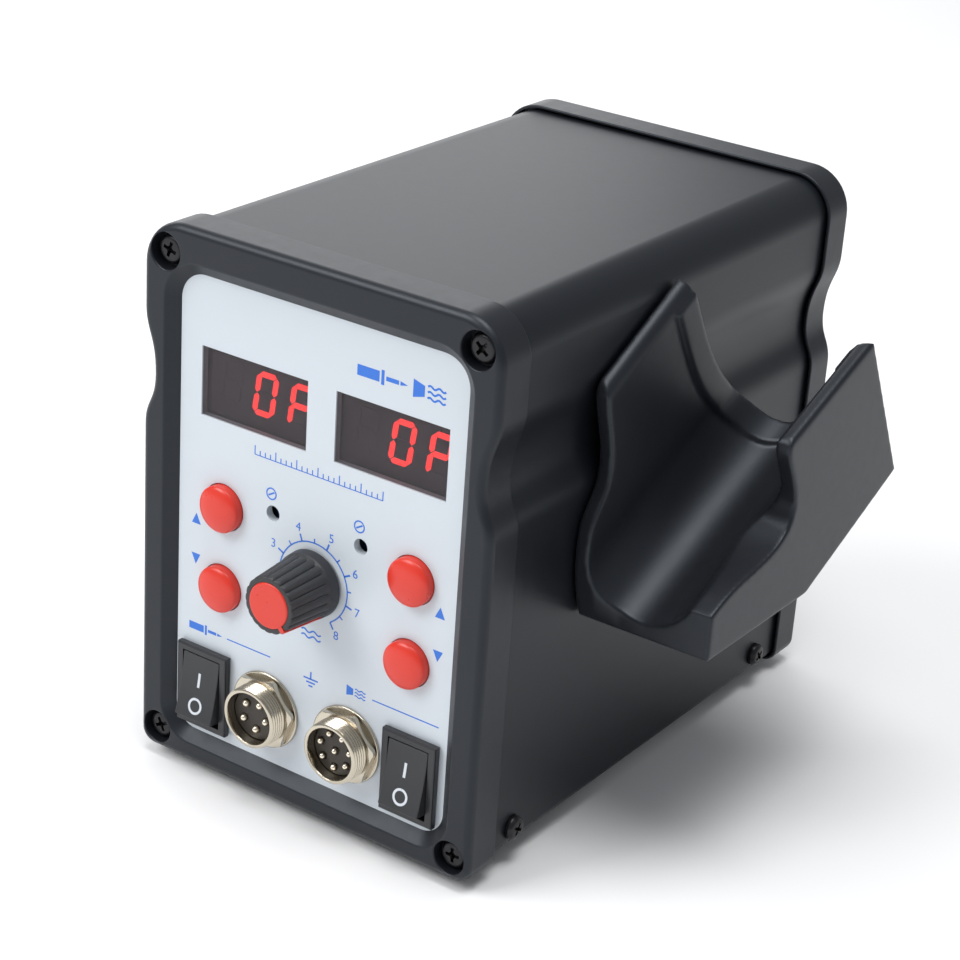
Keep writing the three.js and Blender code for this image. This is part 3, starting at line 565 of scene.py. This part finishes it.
def make_front_panel():
    sheet = slab(panel_outline(TUCK), PANEL_FACE, PANEL_HIGH.y)
    gap = 0.05
    cutters = []
    for side in SIDES:
        low, high = span(f"window_{side}")
        cutters.append(through(rectangle((high.x - low.x) / 2 + gap, (high.z - low.z) / 2 + gap,
                                         (low.x + high.x) / 2, (low.z + high.z) / 2)))
        cutters += [drilled("button", middle(f"button_{side}_{row}")) for row in ROWS]
        frame_at = middle(f"rocker_frame_{side}")
        cutters.append(through(rectangle(*ROCKER_HOLE, frame_at.x, frame_at.z)))
        cutters.append(drilled("trimmer", middle(f"trimmer_{side}")))
        cutters.append(drilled("socket", middle(f"socket_{side}_shell")))
    cutters.append(drilled("knob", KNOB_AT))
    piece("front_panel_form", carved(sheet, *cutters), "case", MATERIALS["printed_panel"],
          ["front_panel"])


def ink(outline):
    """A shape printed on the panel: a skin of ink that stands just proud of it."""
    return slab(outline, PANEL_FACE - 0.03, PANEL_FACE + 0.01)


def stroke(points, width):
    """The outline of a line of one width through points."""
    path = [Vector(p) for p in points]
    left, right = [], []
    for i, point in enumerate(path):
        along = (path[min(i + 1, len(path) - 1)] - path[max(i - 1, 0)]).normalized()
        across = Vector((-along.y, along.x)) * width / 2
        left.append(tuple(point + across))
        right.append(tuple(point - across))
    return left + right[::-1]


def wave(x, z, length, height, count):
    """Points along a level wavy line."""
    steps = 10 * count
    return [(x + length * i / steps, z + height / 2 * math.sin(2 * math.pi * count * i / steps))
            for i in range(steps + 1)]


def iron_icon(x, z, scale):
    """A soldering iron lying level: handle, collar, barrel and tip."""
    def shape(points):
        return ink([(x + a * scale, z + b * scale) for a, b in points])

    bars = ((0, 6, 1.25), (6.5, 7.3, 1.7), (7.8, 11.2, 0.5))
    outlines = [((a, -half), (b, -half), (b, half), (a, half)) for a, b, half in bars]
    outlines.append(((11.6, -0.5), (13.6, 0), (11.6, 0.5)))
    return [shape(points) for points in outlines]


def air_icon(x, z, scale):
    """A nozzle with three waves of air in front of it."""
    nozzle = ((0, -2.2), (3.2, -1.3), (3.2, 1.3), (0, 2.2))
    marks = [ink([(x + a * scale, z + b * scale) for a, b in nozzle])]
    for level in (-1.4, 0, 1.4):
        line = wave(x + 4 * scale, z + level * scale, 5 * scale, 0.6 * scale, 2)
        marks.append(ink(stroke(line, 0.5 * scale)))
    return marks


def dial_angle(number):
    return DIAL["first"] + DIAL["step"] * (number - 1)


def radial(angle, r0, r1, width):
    a = math.radians(angle)
    ends = [(KNOB_AT.x + r * math.cos(a), KNOB_AT.z + r * math.sin(a)) for r in (r0, r1)]
    return stroke(ends, width)


def dial_marks():
    r = DIAL["r"]
    scale_line = arc(KNOB_AT.x, KNOB_AT.z, r, dial_angle(1), dial_angle(DIAL["count"]), 72)
    marks = [ink(stroke(scale_line, 0.35))]
    for half_step in range(2 * DIAL["count"] - 1):
        whole = half_step % 2 == 0
        length = DIAL["long"] if whole else DIAL["short"]
        marks.append(ink(radial(dial_angle(1 + half_step / 2), r, r + length, 0.45 if whole else 0.35)))
    return marks


def number_mark(number):
    """A dial number as a mesh, upright on the panel."""
    curve = bpy.data.curves.new("number", "FONT")
    curve.body = str(number)
    curve.size = DIAL["number_h"]
    curve.extrude = 0.02
    curve.resolution_u = 4
    curve.align_x = "CENTER"
    curve.align_y = "CENTER"
    text = bpy.data.objects.new("number", curve)
    bpy.context.scene.collection.objects.link(text)
    bm = baked(text)
    bmesh.ops.remove_doubles(bm, verts=bm.verts, dist=WELD)
    a = math.radians(dial_angle(number))
    spot = (KNOB_AT.x + DIAL["number_r"] * math.cos(a), PANEL_FACE - 0.01,
            KNOB_AT.z + DIAL["number_r"] * math.sin(a))
    bm.transform(Matrix.Translation(spot) @ Matrix.Rotation(math.pi / 2, 4, "X"))
    return bm


def arrow_mark(x, z, up):
    size = 1.35
    tip = size if up else -size
    return ink([(x - size, z - tip), (x + size, z - tip), (x, z + tip)])


def ruler_marks(x0, x1, z):
    """A fine scale of ticks on a base line, under the displays."""
    count = 24
    marks = [ink(stroke([(x0, z), (x1, z)], 0.22))]
    for i in range(count + 1):
        x = x0 + (x1 - x0) * i / count
        height = 2.2 if i % 4 == 0 else 1.2
        marks.append(ink(stroke([(x, z), (x, z + height)], 0.28)))
    return marks


def adjust_icon(x, z):
    """A slotted screw head seen from above, over each trimmer hole."""
    rim = stroke(arc(x, z, 1.35, 40, 398, 36), 0.35)
    slot = stroke([(x - 0.85, z - 0.5), (x + 0.85, z + 0.5)], 0.4)
    return [ink(rim), ink(slot)]


def earth_icon(x, z):
    """The earth sign: a stem on three shortening bars."""
    marks = [ink(stroke([(x, z + 1.9), (x, z)], 0.4))]
    for i, half in enumerate((2.1, 1.3, 0.6)):
        marks.append(ink(stroke([(x - half, z - 0.9 * i), (x + half, z - 0.9 * i)], 0.4)))
    return marks


def make_printing():
    marks = dial_marks()
    marks += [number_mark(n) for n in range(1, DIAL["count"] + 1)]
    marks += [arrow_mark(x, z, up) for x, z, up in ARROWS]
    marks += iron_icon(10.2, 113.4, 1.0) + air_icon(25.2, 113.4, 0.95)
    marks += ruler_marks(-17.5, 18.7, 85.0)
    marks += adjust_icon(-12.4, 76.8) + adjust_icon(12.7, 76.8)
    marks += [ink(stroke(wave(-2.4, 45.8 + level, 5.6, 0.7, 2), 0.4)) for level in (-0.9, 0.5)]
    marks += iron_icon(-36.2, LABEL_Z, 0.75)
    marks += [ink(stroke([(-24.5, LABEL_Z), (-11.3, LABEL_Z)], 0.3))]
    marks += air_icon(11.2, LABEL_Z, 0.6)
    marks += [ink(stroke([(18.6, LABEL_Z), (37.2, LABEL_Z)], 0.3))]
    marks += earth_icon(0.8, 34.2)
    piece("panel_printing", merged(*marks), "case", MATERIALS["blue_ink"])


# ---- Displays ------------------------------------------------------------------------------------

DIGIT = {"pitch": 10.07, "w": 6.2, "h": 10.8, "bar": 1.3, "gap": 0.16, "slant": 8.0, "shift": 0.8}
SEGMENTS = "abcdefg"
READING = ("", "abcdef", "abefg")


def segment_outline(letter):
    """One pointed bar of an upright seven-segment digit about its own centre."""
    half_w, half_h = (DIGIT["w"] - DIGIT["bar"]) / 2, (DIGIT["h"] - DIGIT["bar"]) / 2
    corners = {"a": ((-half_w, half_h), (half_w, half_h)), "b": ((half_w, 0), (half_w, half_h)),
               "c": ((half_w, -half_h), (half_w, 0)), "d": ((-half_w, -half_h), (half_w, -half_h)),
               "e": ((-half_w, -half_h), (-half_w, 0)), "f": ((-half_w, 0), (-half_w, half_h)),
               "g": ((-half_w, 0), (half_w, 0))}[letter]
    start, end = (Vector(c) for c in corners)
    along = (end - start).normalized()
    across = Vector((-along.y, along.x)) * DIGIT["bar"] / 2
    start, end = start + along * DIGIT["gap"], end - along * DIGIT["gap"]
    shoulder = along * DIGIT["bar"] / 2
    points = [start, start + shoulder - across, end - shoulder - across, end, end - shoulder + across,
              start + shoulder + across]
    lean = math.tan(math.radians(DIGIT["slant"]))
    return [(p.x + lean * p.y, p.y) for p in points]


def make_displays():
    for side in SIDES:
        finish_node(f"display_{side}", MATERIALS["display_black"], 0.2)
        low, high = span(f"window_{side}")
        lens = bevelled(block(low.x, high.x, low.y, high.y, low.z, high.z), 0.15, 2)
        piece(f"window_{side}_form", lens, "case", MATERIALS["smoked_window"],
              [f"window_{side}"])
        centre = (low + high) / 2
        face = span(f"display_{side}")[0].y
        groups = {"lit": [], "dark": []}
        for place, lit in enumerate(READING):
            x = centre.x + (place - 1) * DIGIT["pitch"] + DIGIT["shift"]
            for letter in SEGMENTS:
                outline = [(x + a, centre.z + b) for a, b in segment_outline(letter)]
                bar = slab(outline, face - 0.25, face - 0.02)
                groups["lit" if letter in lit else "dark"].append(bar)
        for state, bars in groups.items():
            piece(f"display_{side}_{state}_bars", merged(*bars), "case", MATERIALS[f"{state}_segment"])


# ---- Buttons, trimmers, knob ---------------------------------------------------------------------

BUTTON = {"shoulder_y": -1.5, "flange_y": 2.05, "flange_h": 1.0, "flange": 1.0, "stem_r": 1.5}


def make_button(node):
    """A domed cap, the flange that keeps it behind the panel, and its stem."""
    low, high = span(node)
    centre = (low + high) / 2
    r = (high.x - low.x) / 2 - BUTTON["flange"]
    flange_r, stem_r = r + BUTTON["flange"], BUTTON["stem_r"]
    shoulder, crown = BUTTON["shoulder_y"], low.y
    front, back = BUTTON["flange_y"], BUTTON["flange_y"] + BUTTON["flange_h"]
    dome = [(r * math.sin(t), shoulder + (crown - shoulder) * math.cos(t) ** 0.9)
            for t in (math.radians(a) for a in range(0, 90, 6))]
    dome[0] = (0, crown)
    stem = [(r, shoulder + 0.35), (r, front), (flange_r, front), (flange_r, back), (stem_r, back),
            (stem_r, high.y), (0, high.y)]
    button = turned(dome + stem, centre.x, centre.z, 72)
    piece(f"{node}_form", button, node, MATERIALS["red_plastic"], [node])


def make_buttons():
    for side in SIDES:
        for row in ROWS:
            make_button(f"button_{side}_{row}")


def make_trimmers():
    for side in SIDES:
        finish_node(f"trimmer_{side}", MATERIALS["trimmer_plastic"], 0.2)
        finish_node(f"trimmer_rotor_{side}", MATERIALS["trimmer_brass"], 0.08)


KNOB = {"base_r": 8.2, "grip_r": 7.85, "tip_r": 6.95, "insert_r": 5.5, "ribs": 20, "skirt": 2.6,
        "bush_r": 3.9, "bore_r": 3.04, "bore_y": -11.02, "pointer_half_w": 0.62}
POINTER_ANGLE = -50.0


def grip_ring(r, y, depth):
    """A ring of the grip: round ribs between narrow flutes."""
    points = []
    steps = KNOB["ribs"] * 12
    for i in range(steps):
        a = 2 * math.pi * i / steps
        rib = abs(math.cos(KNOB["ribs"] * a / 2)) ** 0.6
        at = r - depth * (1 - rib)
        points.append((KNOB_AT.x + at * math.cos(a), y, KNOB_AT.z + at * math.sin(a)))
    return points


def turned_to_pointer(bm):
    """Takes a shape that points straight down to the knob, at the angle where its pointer stands."""
    bm.transform(Matrix.Translation((KNOB_AT.x, 0, KNOB_AT.z))
                 @ Matrix.Rotation(-math.radians(POINTER_ANGLE + 90), 4, "Y"))
    return bm


def knob_grip(tip, collar):
    """The ribbed cone, from its rounded tip back to the collar."""
    tip_r, grip_r = KNOB["tip_r"], KNOB["grip_r"]
    rings = [grip_ring(tip_r - 0.6, tip, 0.05), grip_ring(tip_r - 0.25, tip + 0.12, 0.2),
             grip_ring(tip_r - 0.05, tip + 0.4, 0.4), grip_ring(tip_r, tip + 0.9, 0.45)]
    rings += [grip_ring(tip_r + (grip_r - tip_r) * t, tip + 1 + (collar - tip - 1) * t, 0.45)
              for t in (0.25, 0.5, 0.75, 1.0)]
    return loft(rings)


def about_knob(profile, segments, rounded=False):
    profile = softened(profile) if rounded else profile
    return turned(profile, KNOB_AT.x, KNOB_AT.z, segments)


def make_knob_body():
    low, high = span("knob_body")
    tip, collar = low.y, high.y - KNOB["skirt"]
    base_r, grip_r, well_r = KNOB["base_r"], KNOB["grip_r"], KNOB["insert_r"] + 0.06
    bush_r, bore_r, bore_y = KNOB["bush_r"], KNOB["bore_r"], KNOB["bore_y"]
    skirt = about_knob([(0, collar - 0.9), (grip_r - 0.4, collar - 0.9, 0.3),
                        (base_r - 0.15, collar + 0.1, 0.5), (base_r, high.y, 0.15), (0, high.y)], 96, True)
    well = about_knob([(0, tip - 1), (well_r, tip - 1), (well_r, tip + 1.6), (0, tip + 1.6)], 72)
    bush = about_knob([(0, -2), (bush_r, -2), (bush_r, 1), (0, 1)], 48)
    bore = about_knob([(0, bore_y), (bore_r, bore_y), (bore_r, 1), (0, 1)], 48)
    channel = block(-0.7, 0.7, tip - 1, tip + 1.55, -KNOB["tip_r"] - 1, -KNOB["insert_r"] + 0.6)
    body = carved(knob_grip(tip, collar), skirt, operation="UNION")
    body = carved(body, well, turned_to_pointer(channel), bush, bore)
    piece("knob_body_form", body, "knob", MATERIALS["knob_black"], ["knob_body"], smooth=50)


def make_knob_cap():
    """The red disc in the knob's tip, and the pointer that runs from it down the grip."""
    low, high = span("knob_cap")
    collar = span("knob_body")[1].y - KNOB["skirt"]
    r, tip_r, grip_r = KNOB["insert_r"], KNOB["tip_r"], KNOB["grip_r"]
    half = KNOB["pointer_half_w"]
    disc = about_knob([(0, low.y), (r, low.y, 0.45), (r, high.y), (0, high.y)], 72, True)
    arm = plate([(low.y + 0.1, -r + 1), (low.y + 0.1, -tip_r + 0.2), (low.y + 0.6, -tip_r - 0.1),
                 (collar - 0.3, -grip_r - 0.1), (collar - 0.3, -grip_r + 0.7), (low.y + 1.5, -tip_r + 0.7),
                 (low.y + 1.5, -r + 1)], -half, half)
    arm = turned_to_pointer(bevelled(arm, 0.12, 2))
    piece("knob_cap_form", merged(disc, arm), "knob", MATERIALS["red_plastic"], ["knob_cap"])


def make_knob():
    make_knob_body()
    make_knob_cap()
    finish_node("pot_shaft", MATERIALS["zinc_steel"])
    finish_node("potentiometer", MATERIALS["zinc_steel"], 0.2)


# ---- Rocker switches -----------------------------------------------------------------------------

ROCKER = {"pivot_y": 0.5, "tilt": -11.0, "half_w": 5.5, "half_h": 8.0, "face": -4.0, "hollow": 0.5}


def rocker_face(z):
    """How far the rocker's face stands from its pivot at a height: a shallow hollow along it."""
    return ROCKER["face"] + ROCKER["hollow"] * (1 - (z / ROCKER["half_h"]) ** 2)


def on_rocker(outline, lift=0.02):
    """A mark that follows the rocker's hollow face, from its outline in x and z."""
    front = [(x, rocker_face(z) - lift, z) for x, z in outline]
    back = [(x, rocker_face(z) + 0.03, z) for x, z in outline]
    return loft([front, back])


def make_rockers():
    half_h = ROCKER["half_h"]
    heights = [half_h * (1 - i / 8) for i in range(17)]
    face = [(rocker_face(z), z) for z in heights]
    back = [(1.0, -7.6), (4.5, -3), (4.5, 3), (1.0, 7.6)]
    for side in SIDES:
        finish_node(f"rocker_frame_{side}", MATERIALS["switch_black"], 0.35)
        centre = middle(f"rocker_frame_{side}")
        seat = (Matrix.Translation((centre.x, ROCKER["pivot_y"], centre.z))
                @ Matrix.Rotation(math.radians(ROCKER["tilt"]), 4, "X"))
        rocker = bevelled(plate(face + back, -ROCKER["half_w"], ROCKER["half_w"]), 0.25, 3, 25)
        rocker.transform(seat)
        name = f"rocker_{side}"
        piece(f"{name}_form", rocker, name, MATERIALS["switch_black"], [name])
        on_mark = on_rocker(stroke([(0, 3.7), (0, 1.9), (0, 0.1)], 0.72))
        off_mark = on_rocker(stroke(arc(0, -4.6, 1.75, 91, 449, 48), 0.6))
        marks = merged(on_mark, off_mark)
        marks.transform(seat)
        piece(f"{name}_marks", marks, name, MATERIALS["white_ink"])


# ---- Round sockets -------------------------------------------------------------------------------

SHELL = {"r": 7.55, "bore": 6.3, "flange": 9.6, "back": 9}
THREAD = {"pitch": 0.75, "depth": 0.32, "turns": 5}
PINS = {"left": {"r": 0.9, "ring": (3.5, -8, 5)}, "right": {"r": 0.75, "ring": (4.3, 11, 7)}}


def threaded_shell(low, x, z):
    """The barrel with its thread as rounded ridges, and the washer against the panel."""
    r, bore, flange = SHELL["r"], SHELL["bore"], SHELL["flange"]
    pitch, root_r = THREAD["pitch"], r - THREAD["depth"]
    profile = [(bore, low.y + 0.3), (bore + 0.25, low.y), (r - 0.45, low.y), (r - 0.15, low.y + 0.25)]
    start = low.y + 0.6
    for i in range(THREAD["turns"]):
        y = start + i * pitch
        profile += [(root_r, y), (r, y + pitch * 0.35), (r, y + pitch * 0.6)]
    profile += [(root_r, start + THREAD["turns"] * pitch), (root_r, -0.75)]
    profile += softened([(r, -0.75), (flange, -0.75, 0.3), (flange, -0.02, 0.2), (r, -0.02)])
    profile += [(r, SHELL["back"]), (bore, SHELL["back"])]
    return turned(profile, x, z, 96, closed=True)


def front_nut(x, z):
    """The hexagon behind the thread: flats with their corners turned off at both ends."""
    hexagon = [(x + a, z + b) for a, b in arc(0, 0, 9.5, 10, 370, 6)[:-1]]
    profile = [(7.2, -2.6), (8.5, -2.6), (9.3, -2.1), (9.3, -1.2), (8.5, -0.78), (7.2, -0.78)]
    crown = turned(profile, x, z, 96, closed=True)
    return carved(crown, slab(hexagon, -4, 1), operation="INTERSECT")


def pin_spots(side):
    """The pins stand evenly on a ring, and the eight-pin socket has one more in the middle."""
    ring_r, first, count = PINS[side]["ring"]
    spots = arc(0, 0, ring_r, first, first + 360, count)[:-1]
    return spots + ([(0, 0)] if side == "right" else [])


def make_insert(side, x, z):
    """The insulating disc in the barrel, with a countersink round each pin."""
    node = f"socket_{side}_insert"
    low, high = span(node)
    r = (high.x - low.x) / 2
    insert = turned(softened([(0, low.y), (r, low.y, 0.25), (r, high.y), (0, high.y)]), x, z, 72)
    sink = [(0, low.y - 0.5), (1.15, low.y - 0.5), (1.0, low.y + 0.35), (0, low.y + 0.35)]
    sinks = [turned(sink, x + a, z + b, 24) for a, b in pin_spots(side)]
    piece(f"{node}_form", carved(insert, *sinks), "case", MATERIALS["socket_insert"],
          [node])


def make_pins(side, x, z):
    node = f"socket_{side}_pins"
    low, high = span(node)
    r = PINS[side]["r"]
    tip = [(r * math.sin(t), low.y + r * (1 - math.cos(t)))
           for t in (math.radians(a) for a in range(0, 91, 15))]
    tip[0] = (0, low.y)
    pins = [turned(tip + [(r, high.y), (0, high.y)], x + a, z + b, 24) for a, b in pin_spots(side)]
    piece(f"{node}_form", merged(*pins), "case", MATERIALS["contact_metal"], [node])


def make_sockets():
    nickel = MATERIALS["nickel"]
    for side in SIDES:
        node = f"socket_{side}_shell"
        low, high = span(node)
        x, z = (low.x + high.x) / 2, (low.z + high.z) / 2
        piece(f"{node}_form", threaded_shell(low, x, z), "case", nickel, [node], smooth=50)
        piece(f"socket_{side}_front_nut", front_nut(x, z), "case", nickel)
        finish_node(f"socket_{side}_nut", nickel, 0.2)
        make_insert(side, x, z)
        make_pins(side, x, z)


# ---- Cradle --------------------------------------------------------------------------------------

TROUGH = {"x": 65.3, "r": 13.2, "lip_y": 36.4, "lip_z": 57.4, "rise": 23.7}
UNDERSIDE = {"z": 53.6, "bend_y": 79.0, "rise_y": 84.5, "rise_z": 55.0, "slope": 0.454}
FAR_Y = 140
WALL_TOPS = {"inner": ((37.5, 111.7), (FAR_Y, 166.8)), "outer": ((65.8, 98), (FAR_Y, 127.7))}
INNER_WALL_X = 53.5
SWEEP_X = (51, 66)
COLLAR = {"forward": 6.5, "down": 4.5, "height": 0.9}
REAR_PLANE = [Vector(p) for p in ((49, 65.5, 127), (82.6, 100.6, 111.9), (82.6, 122.7, 72.4))]


def underside():
    z, bend_y, rise_y, rise_z = (UNDERSIDE[k] for k in ("z", "bend_y", "rise_y", "rise_z"))
    start, end = (bend_y, z), (rise_y, rise_z)
    knee = ((bend_y + rise_y) / 2, z)
    return [(TROUGH["lip_y"], z), start] + bezier(start, knee, knee, end, 6) + [
        (FAR_Y, rise_z + (FAR_Y - rise_y) * UNDERSIDE["slope"])]


def outer_wall():
    """The outer wall seen from the right: its front edge falls back behind a low lip."""
    top, far = WALL_TOPS["outer"]
    return underside() + [far, top] + (
        bezier(top, (61.5, 94.5), (69, 89), (70.2, 81), 20)
        + bezier((70.2, 81), (71, 73), (62, 70.8), (52, 69.4), 20)
        + bezier((52, 69.4), (44, 68.3), (41, 67), (TROUGH["lip_y"], 65), 8))


def inner_wall(blend):
    """The inner wall seen from the right. A blend of 1 draws its front edge back to the lip."""
    top, far = WALL_TOPS["inner"]
    lip_y = TROUGH["lip_y"] - 0.05
    front = ([top] + bezier(top, (36, 110.9), (35.3, 109.5), (35.4, 108), 8)
             + bezier((35.4, 108), (36, 102), (39.5, 97), (39.2, 90), 16)
             + bezier((39.2, 90), (39, 83), (34, 82), (33, 76), 16)
             + bezier((33, 76), (31.8, 69), (33, 61), (lip_y, UNDERSIDE["z"] + 0.1), 14))
    drawn = [(y + blend * max(lip_y - y, 0), z) for y, z in front]
    return underside() + [far] + drawn


def inner_half(x0, x1):
    """The floor and wall next to the case, whose front edge eases back into the lip."""
    stations = ((x0, 0), (INNER_WALL_X, 0), (INNER_WALL_X + 3, 0.35), (INNER_WALL_X + 6, 0.8), (x1, 1))
    return loft([[(x, y, z) for y, z in inner_wall(blend)] for x, blend in stations])


def rear_plane_y(x, z):
    """Where the slanted rear plane lies at a spot seen from behind."""
    a, b, c = REAR_PLANE
    normal = (b - a).cross(c - a)
    return a.y - (normal.x * (x - a.x) + normal.z * (z - a.z)) / normal.y


def rear_sweep():
    """The curve, in y and z, that the rear end follows up the inner wall."""
    curve = bezier((66.5, 127), (77, 109), (78, 103), (103, 85.8), 24)
    return [(30, 240), (66.5, 127)] + curve + [(125, 46)]


def behind_rear_end(forward=0.0, down=0.0):
    """All that lies behind the cradle's rear end, which eases from the sweep at the inner wall into
    the slanted plane on the outer half."""
    beyond = 240
    rings = []
    for x in (40, 50, 52, 54, 56, 58, 60, 62, 64, 66, 70, 95):
        share = min(max((SWEEP_X[1] - x) / (SWEEP_X[1] - SWEEP_X[0]), 0), 1)
        share = share * share * (3 - 2 * share)
        edge = [(share * y + (1 - share) * rear_plane_y(x, z), z) for y, z in rear_sweep()]
        rings.append([(x, y - forward, z - down) for y, z in edge + [(beyond, 46), (beyond, beyond)]])
    return loft(rings)


def trough_solid(r):
    """A round bottom along a rising axis, open upwards."""
    rise = math.radians(TROUGH["rise"])
    section = [(r, 120), (-r, 120)] + arc(0, 0, r, 180, 360, 64)
    bm = slab(section, -130, 130)
    over_lip = (TROUGH["x"], TROUGH["lip_y"], TROUGH["lip_z"] + TROUGH["r"] / math.cos(rise))
    bm.transform(Matrix.Translation(over_lip) @ Matrix.Rotation(rise, 4, "X"))
    return bm


def top_rounding(wall, edge_x, r):
    """What a round-over takes off a wall's top edge. A negative radius works towards -x."""
    (y0, z0), (y1, z1) = WALL_TOPS[wall]
    slope = math.atan2(z1 - z0, y1 - y0)
    size = abs(r)
    corner = [(1, 1), (-size, 1), (-size, 0)] + arc(-size, -size, size, 90, 0, 10) + [(1, -size)]
    flip = 1 if r > 0 else -1
    bm = slab([(flip * u, v) for u, v in corner], -60, 160)
    bm.transform(Matrix.Translation((edge_x, y0, z0)) @ Matrix.Rotation(slope, 4, "X"))
    return bm


def moulded(bm, voxel, passes):
    """Evens a solid into one fine skin and softens its edges."""
    obj = as_object(bm)
    skin = obj.modifiers.new("skin", "REMESH")
    skin.mode = "VOXEL"
    skin.voxel_size = voxel
    soft = obj.modifiers.new("soft", "SMOOTH")
    soft.factor = 0.5
    soft.iterations = passes
    return baked(obj)


def make_cradle():
    low, high = span("cradle")
    x, r = TROUGH["x"], TROUGH["r"]
    halves = carved(inner_half(low.x, x), plate(outer_wall(), x - 0.5, high.x), operation="UNION")
    full_trough = carved(trough_solid(r), behind_rear_end(COLLAR["forward"], COLLAR["down"]))
    collar_trough = trough_solid(r - COLLAR["height"])
    edges = [top_rounding(*edge)
             for edge in (("inner", x - r, 3.2), ("outer", x + r, -1.6), ("outer", high.x, 1.2))]
    cradle = carved(halves, behind_rear_end(), collar_trough, full_trough, *edges)
    piece("cradle_form", moulded(cradle, 0.45, 10), "case", MATERIALS["moulded_black"],
          ["cradle"], smooth=80)


# ---- Back and inside -----------------------------------------------------------------------------

FUSE = {"bore_r": 4.8, "barrel_r": 6.0, "stem_r": 3.2, "ribs": 30, "rib_h": 0.18, "slot_half_w": 0.7}


def make_fuse_holder():
    low, high = span("fuse_holder")
    x, z = (low.x + high.x) / 2, (low.z + high.z) / 2
    flange_r = (high.x - low.x) / 2
    bore_r, barrel_r = FUSE["bore_r"], FUSE["barrel_r"]
    profile = [(bore_r, high.y), (bore_r, low.y + 4), (0.6, low.y + 4), (0.6, low.y), (barrel_r, low.y),
               (barrel_r, high.y - 1.6), (flange_r - 0.1, high.y - 1.6), (flange_r, high.y - 0.3),
               (flange_r - 0.3, high.y)]
    piece("fuse_holder_form", turned(profile, x, z, 72, closed=True), "case", MATERIALS["fitting_black"],
          ["fuse_holder"])


def make_fuse_cap():
    """A ribbed cap with a slot for a screwdriver, and the stem that reaches into the holder."""
    mouth = span("fuse_holder")[1].y
    low, high = span("fuse_cap")
    x, z = middle("fuse_holder").x, middle("fuse_holder").z
    r, stem_r = (high.x - low.x) / 2, FUSE["stem_r"]
    rim = []
    for k in range(2 * FUSE["ribs"]):
        at, a = r - FUSE["rib_h"] * (k % 2), math.pi * k / FUSE["ribs"]
        rim.append((x + at * math.cos(a), z + at * math.sin(a)))
    knurl = slab(rim, mouth + 0.05, high.y - 1.4)
    crown = turned(softened([(0, high.y - 1.5), (r - 0.2, high.y - 1.5), (r - 0.2, high.y - 1.0),
                             (r - 1.1, high.y, 0.4), (0, high.y)]), x, z, 60)
    stem = turned([(0, low.y), (stem_r, low.y), (stem_r, mouth + 0.3), (0, mouth + 0.3)], x, z, 40)
    half = FUSE["slot_half_w"]
    slot = block(x - r, x + r, high.y - 1, high.y + 1, z - half, z + half)
    cap = carved(merged(knurl, stem), carved(crown, slot), operation="UNION")
    piece("fuse_cap_form", cap, "fuse_cap", MATERIALS["fitting_black"], ["fuse_cap"])


def make_rear():
    finish_node("rear_panel", MATERIALS["cover_paint"], 0.15)
    finish_node("power_inlet", MATERIALS["fitting_black"], 0.3)
    make_fuse_holder()
    make_fuse_cap()


def make_inside():
    for node, material in (("display_board", "circuit_board"), ("main_board", "circuit_board"),
                           ("transformer", "transformer_iron")):
        finish_node(node, MATERIALS[material], 0.3)


# ---- Floor and light -----------------------------------------------------------------------------

def area_light(name, at, size, power):
    """A soft square light that faces the middle of the case."""
    data = bpy.data.lights.new(name, "AREA")
    data.shape = "SQUARE"
    data.size = size
    data.energy = power
    light = bpy.data.objects.new(name, data)
    light.location = at
    aim = TO_ROW @ Vector(LIGHT_AIM)
    light.rotation_mode = "QUATERNION"
    light.rotation_quaternion = (aim - light.location).to_track_quat("-Z", "Y")
    bpy.context.scene.collection.objects.link(light)


def make_stage():
    bpy.context.scene.view_settings.view_transform = "Standard"
    half, thickness = 4.0, 0.02
    layers = [[(x, y, z) for x, y in rectangle(half, half)] for z in (-thickness, 0)]
    floor = as_object(loft(layers), "floor")
    floor.data.materials.append(MATERIALS["floor_paint"])
    world = bpy.data.worlds.new("studio")
    bpy.context.scene.world = world
    world.use_nodes = True
    background = world.node_tree.nodes["Background"]
    background.inputs["Color"].default_value = (0.93, 0.96, 1.0, 1)
    background.inputs["Strength"].default_value = 0.38
    area_light("key", (-0.8, -1.0, 1.2), 0.9, 18)
    area_light("sheen", (-1.0, 0.8, 0.62), 1.1, 6)
    area_light("top", (0.15, -0.1, 1.5), 0.8, 15)


make_camera()
make_bezels()
make_cover()
make_screws()
make_base()
make_front_panel()
make_printing()
make_displays()
make_buttons()
make_trimmers()
make_knob()
make_rockers()
make_sockets()
make_cradle()
make_rear()
make_inside()
make_stage()
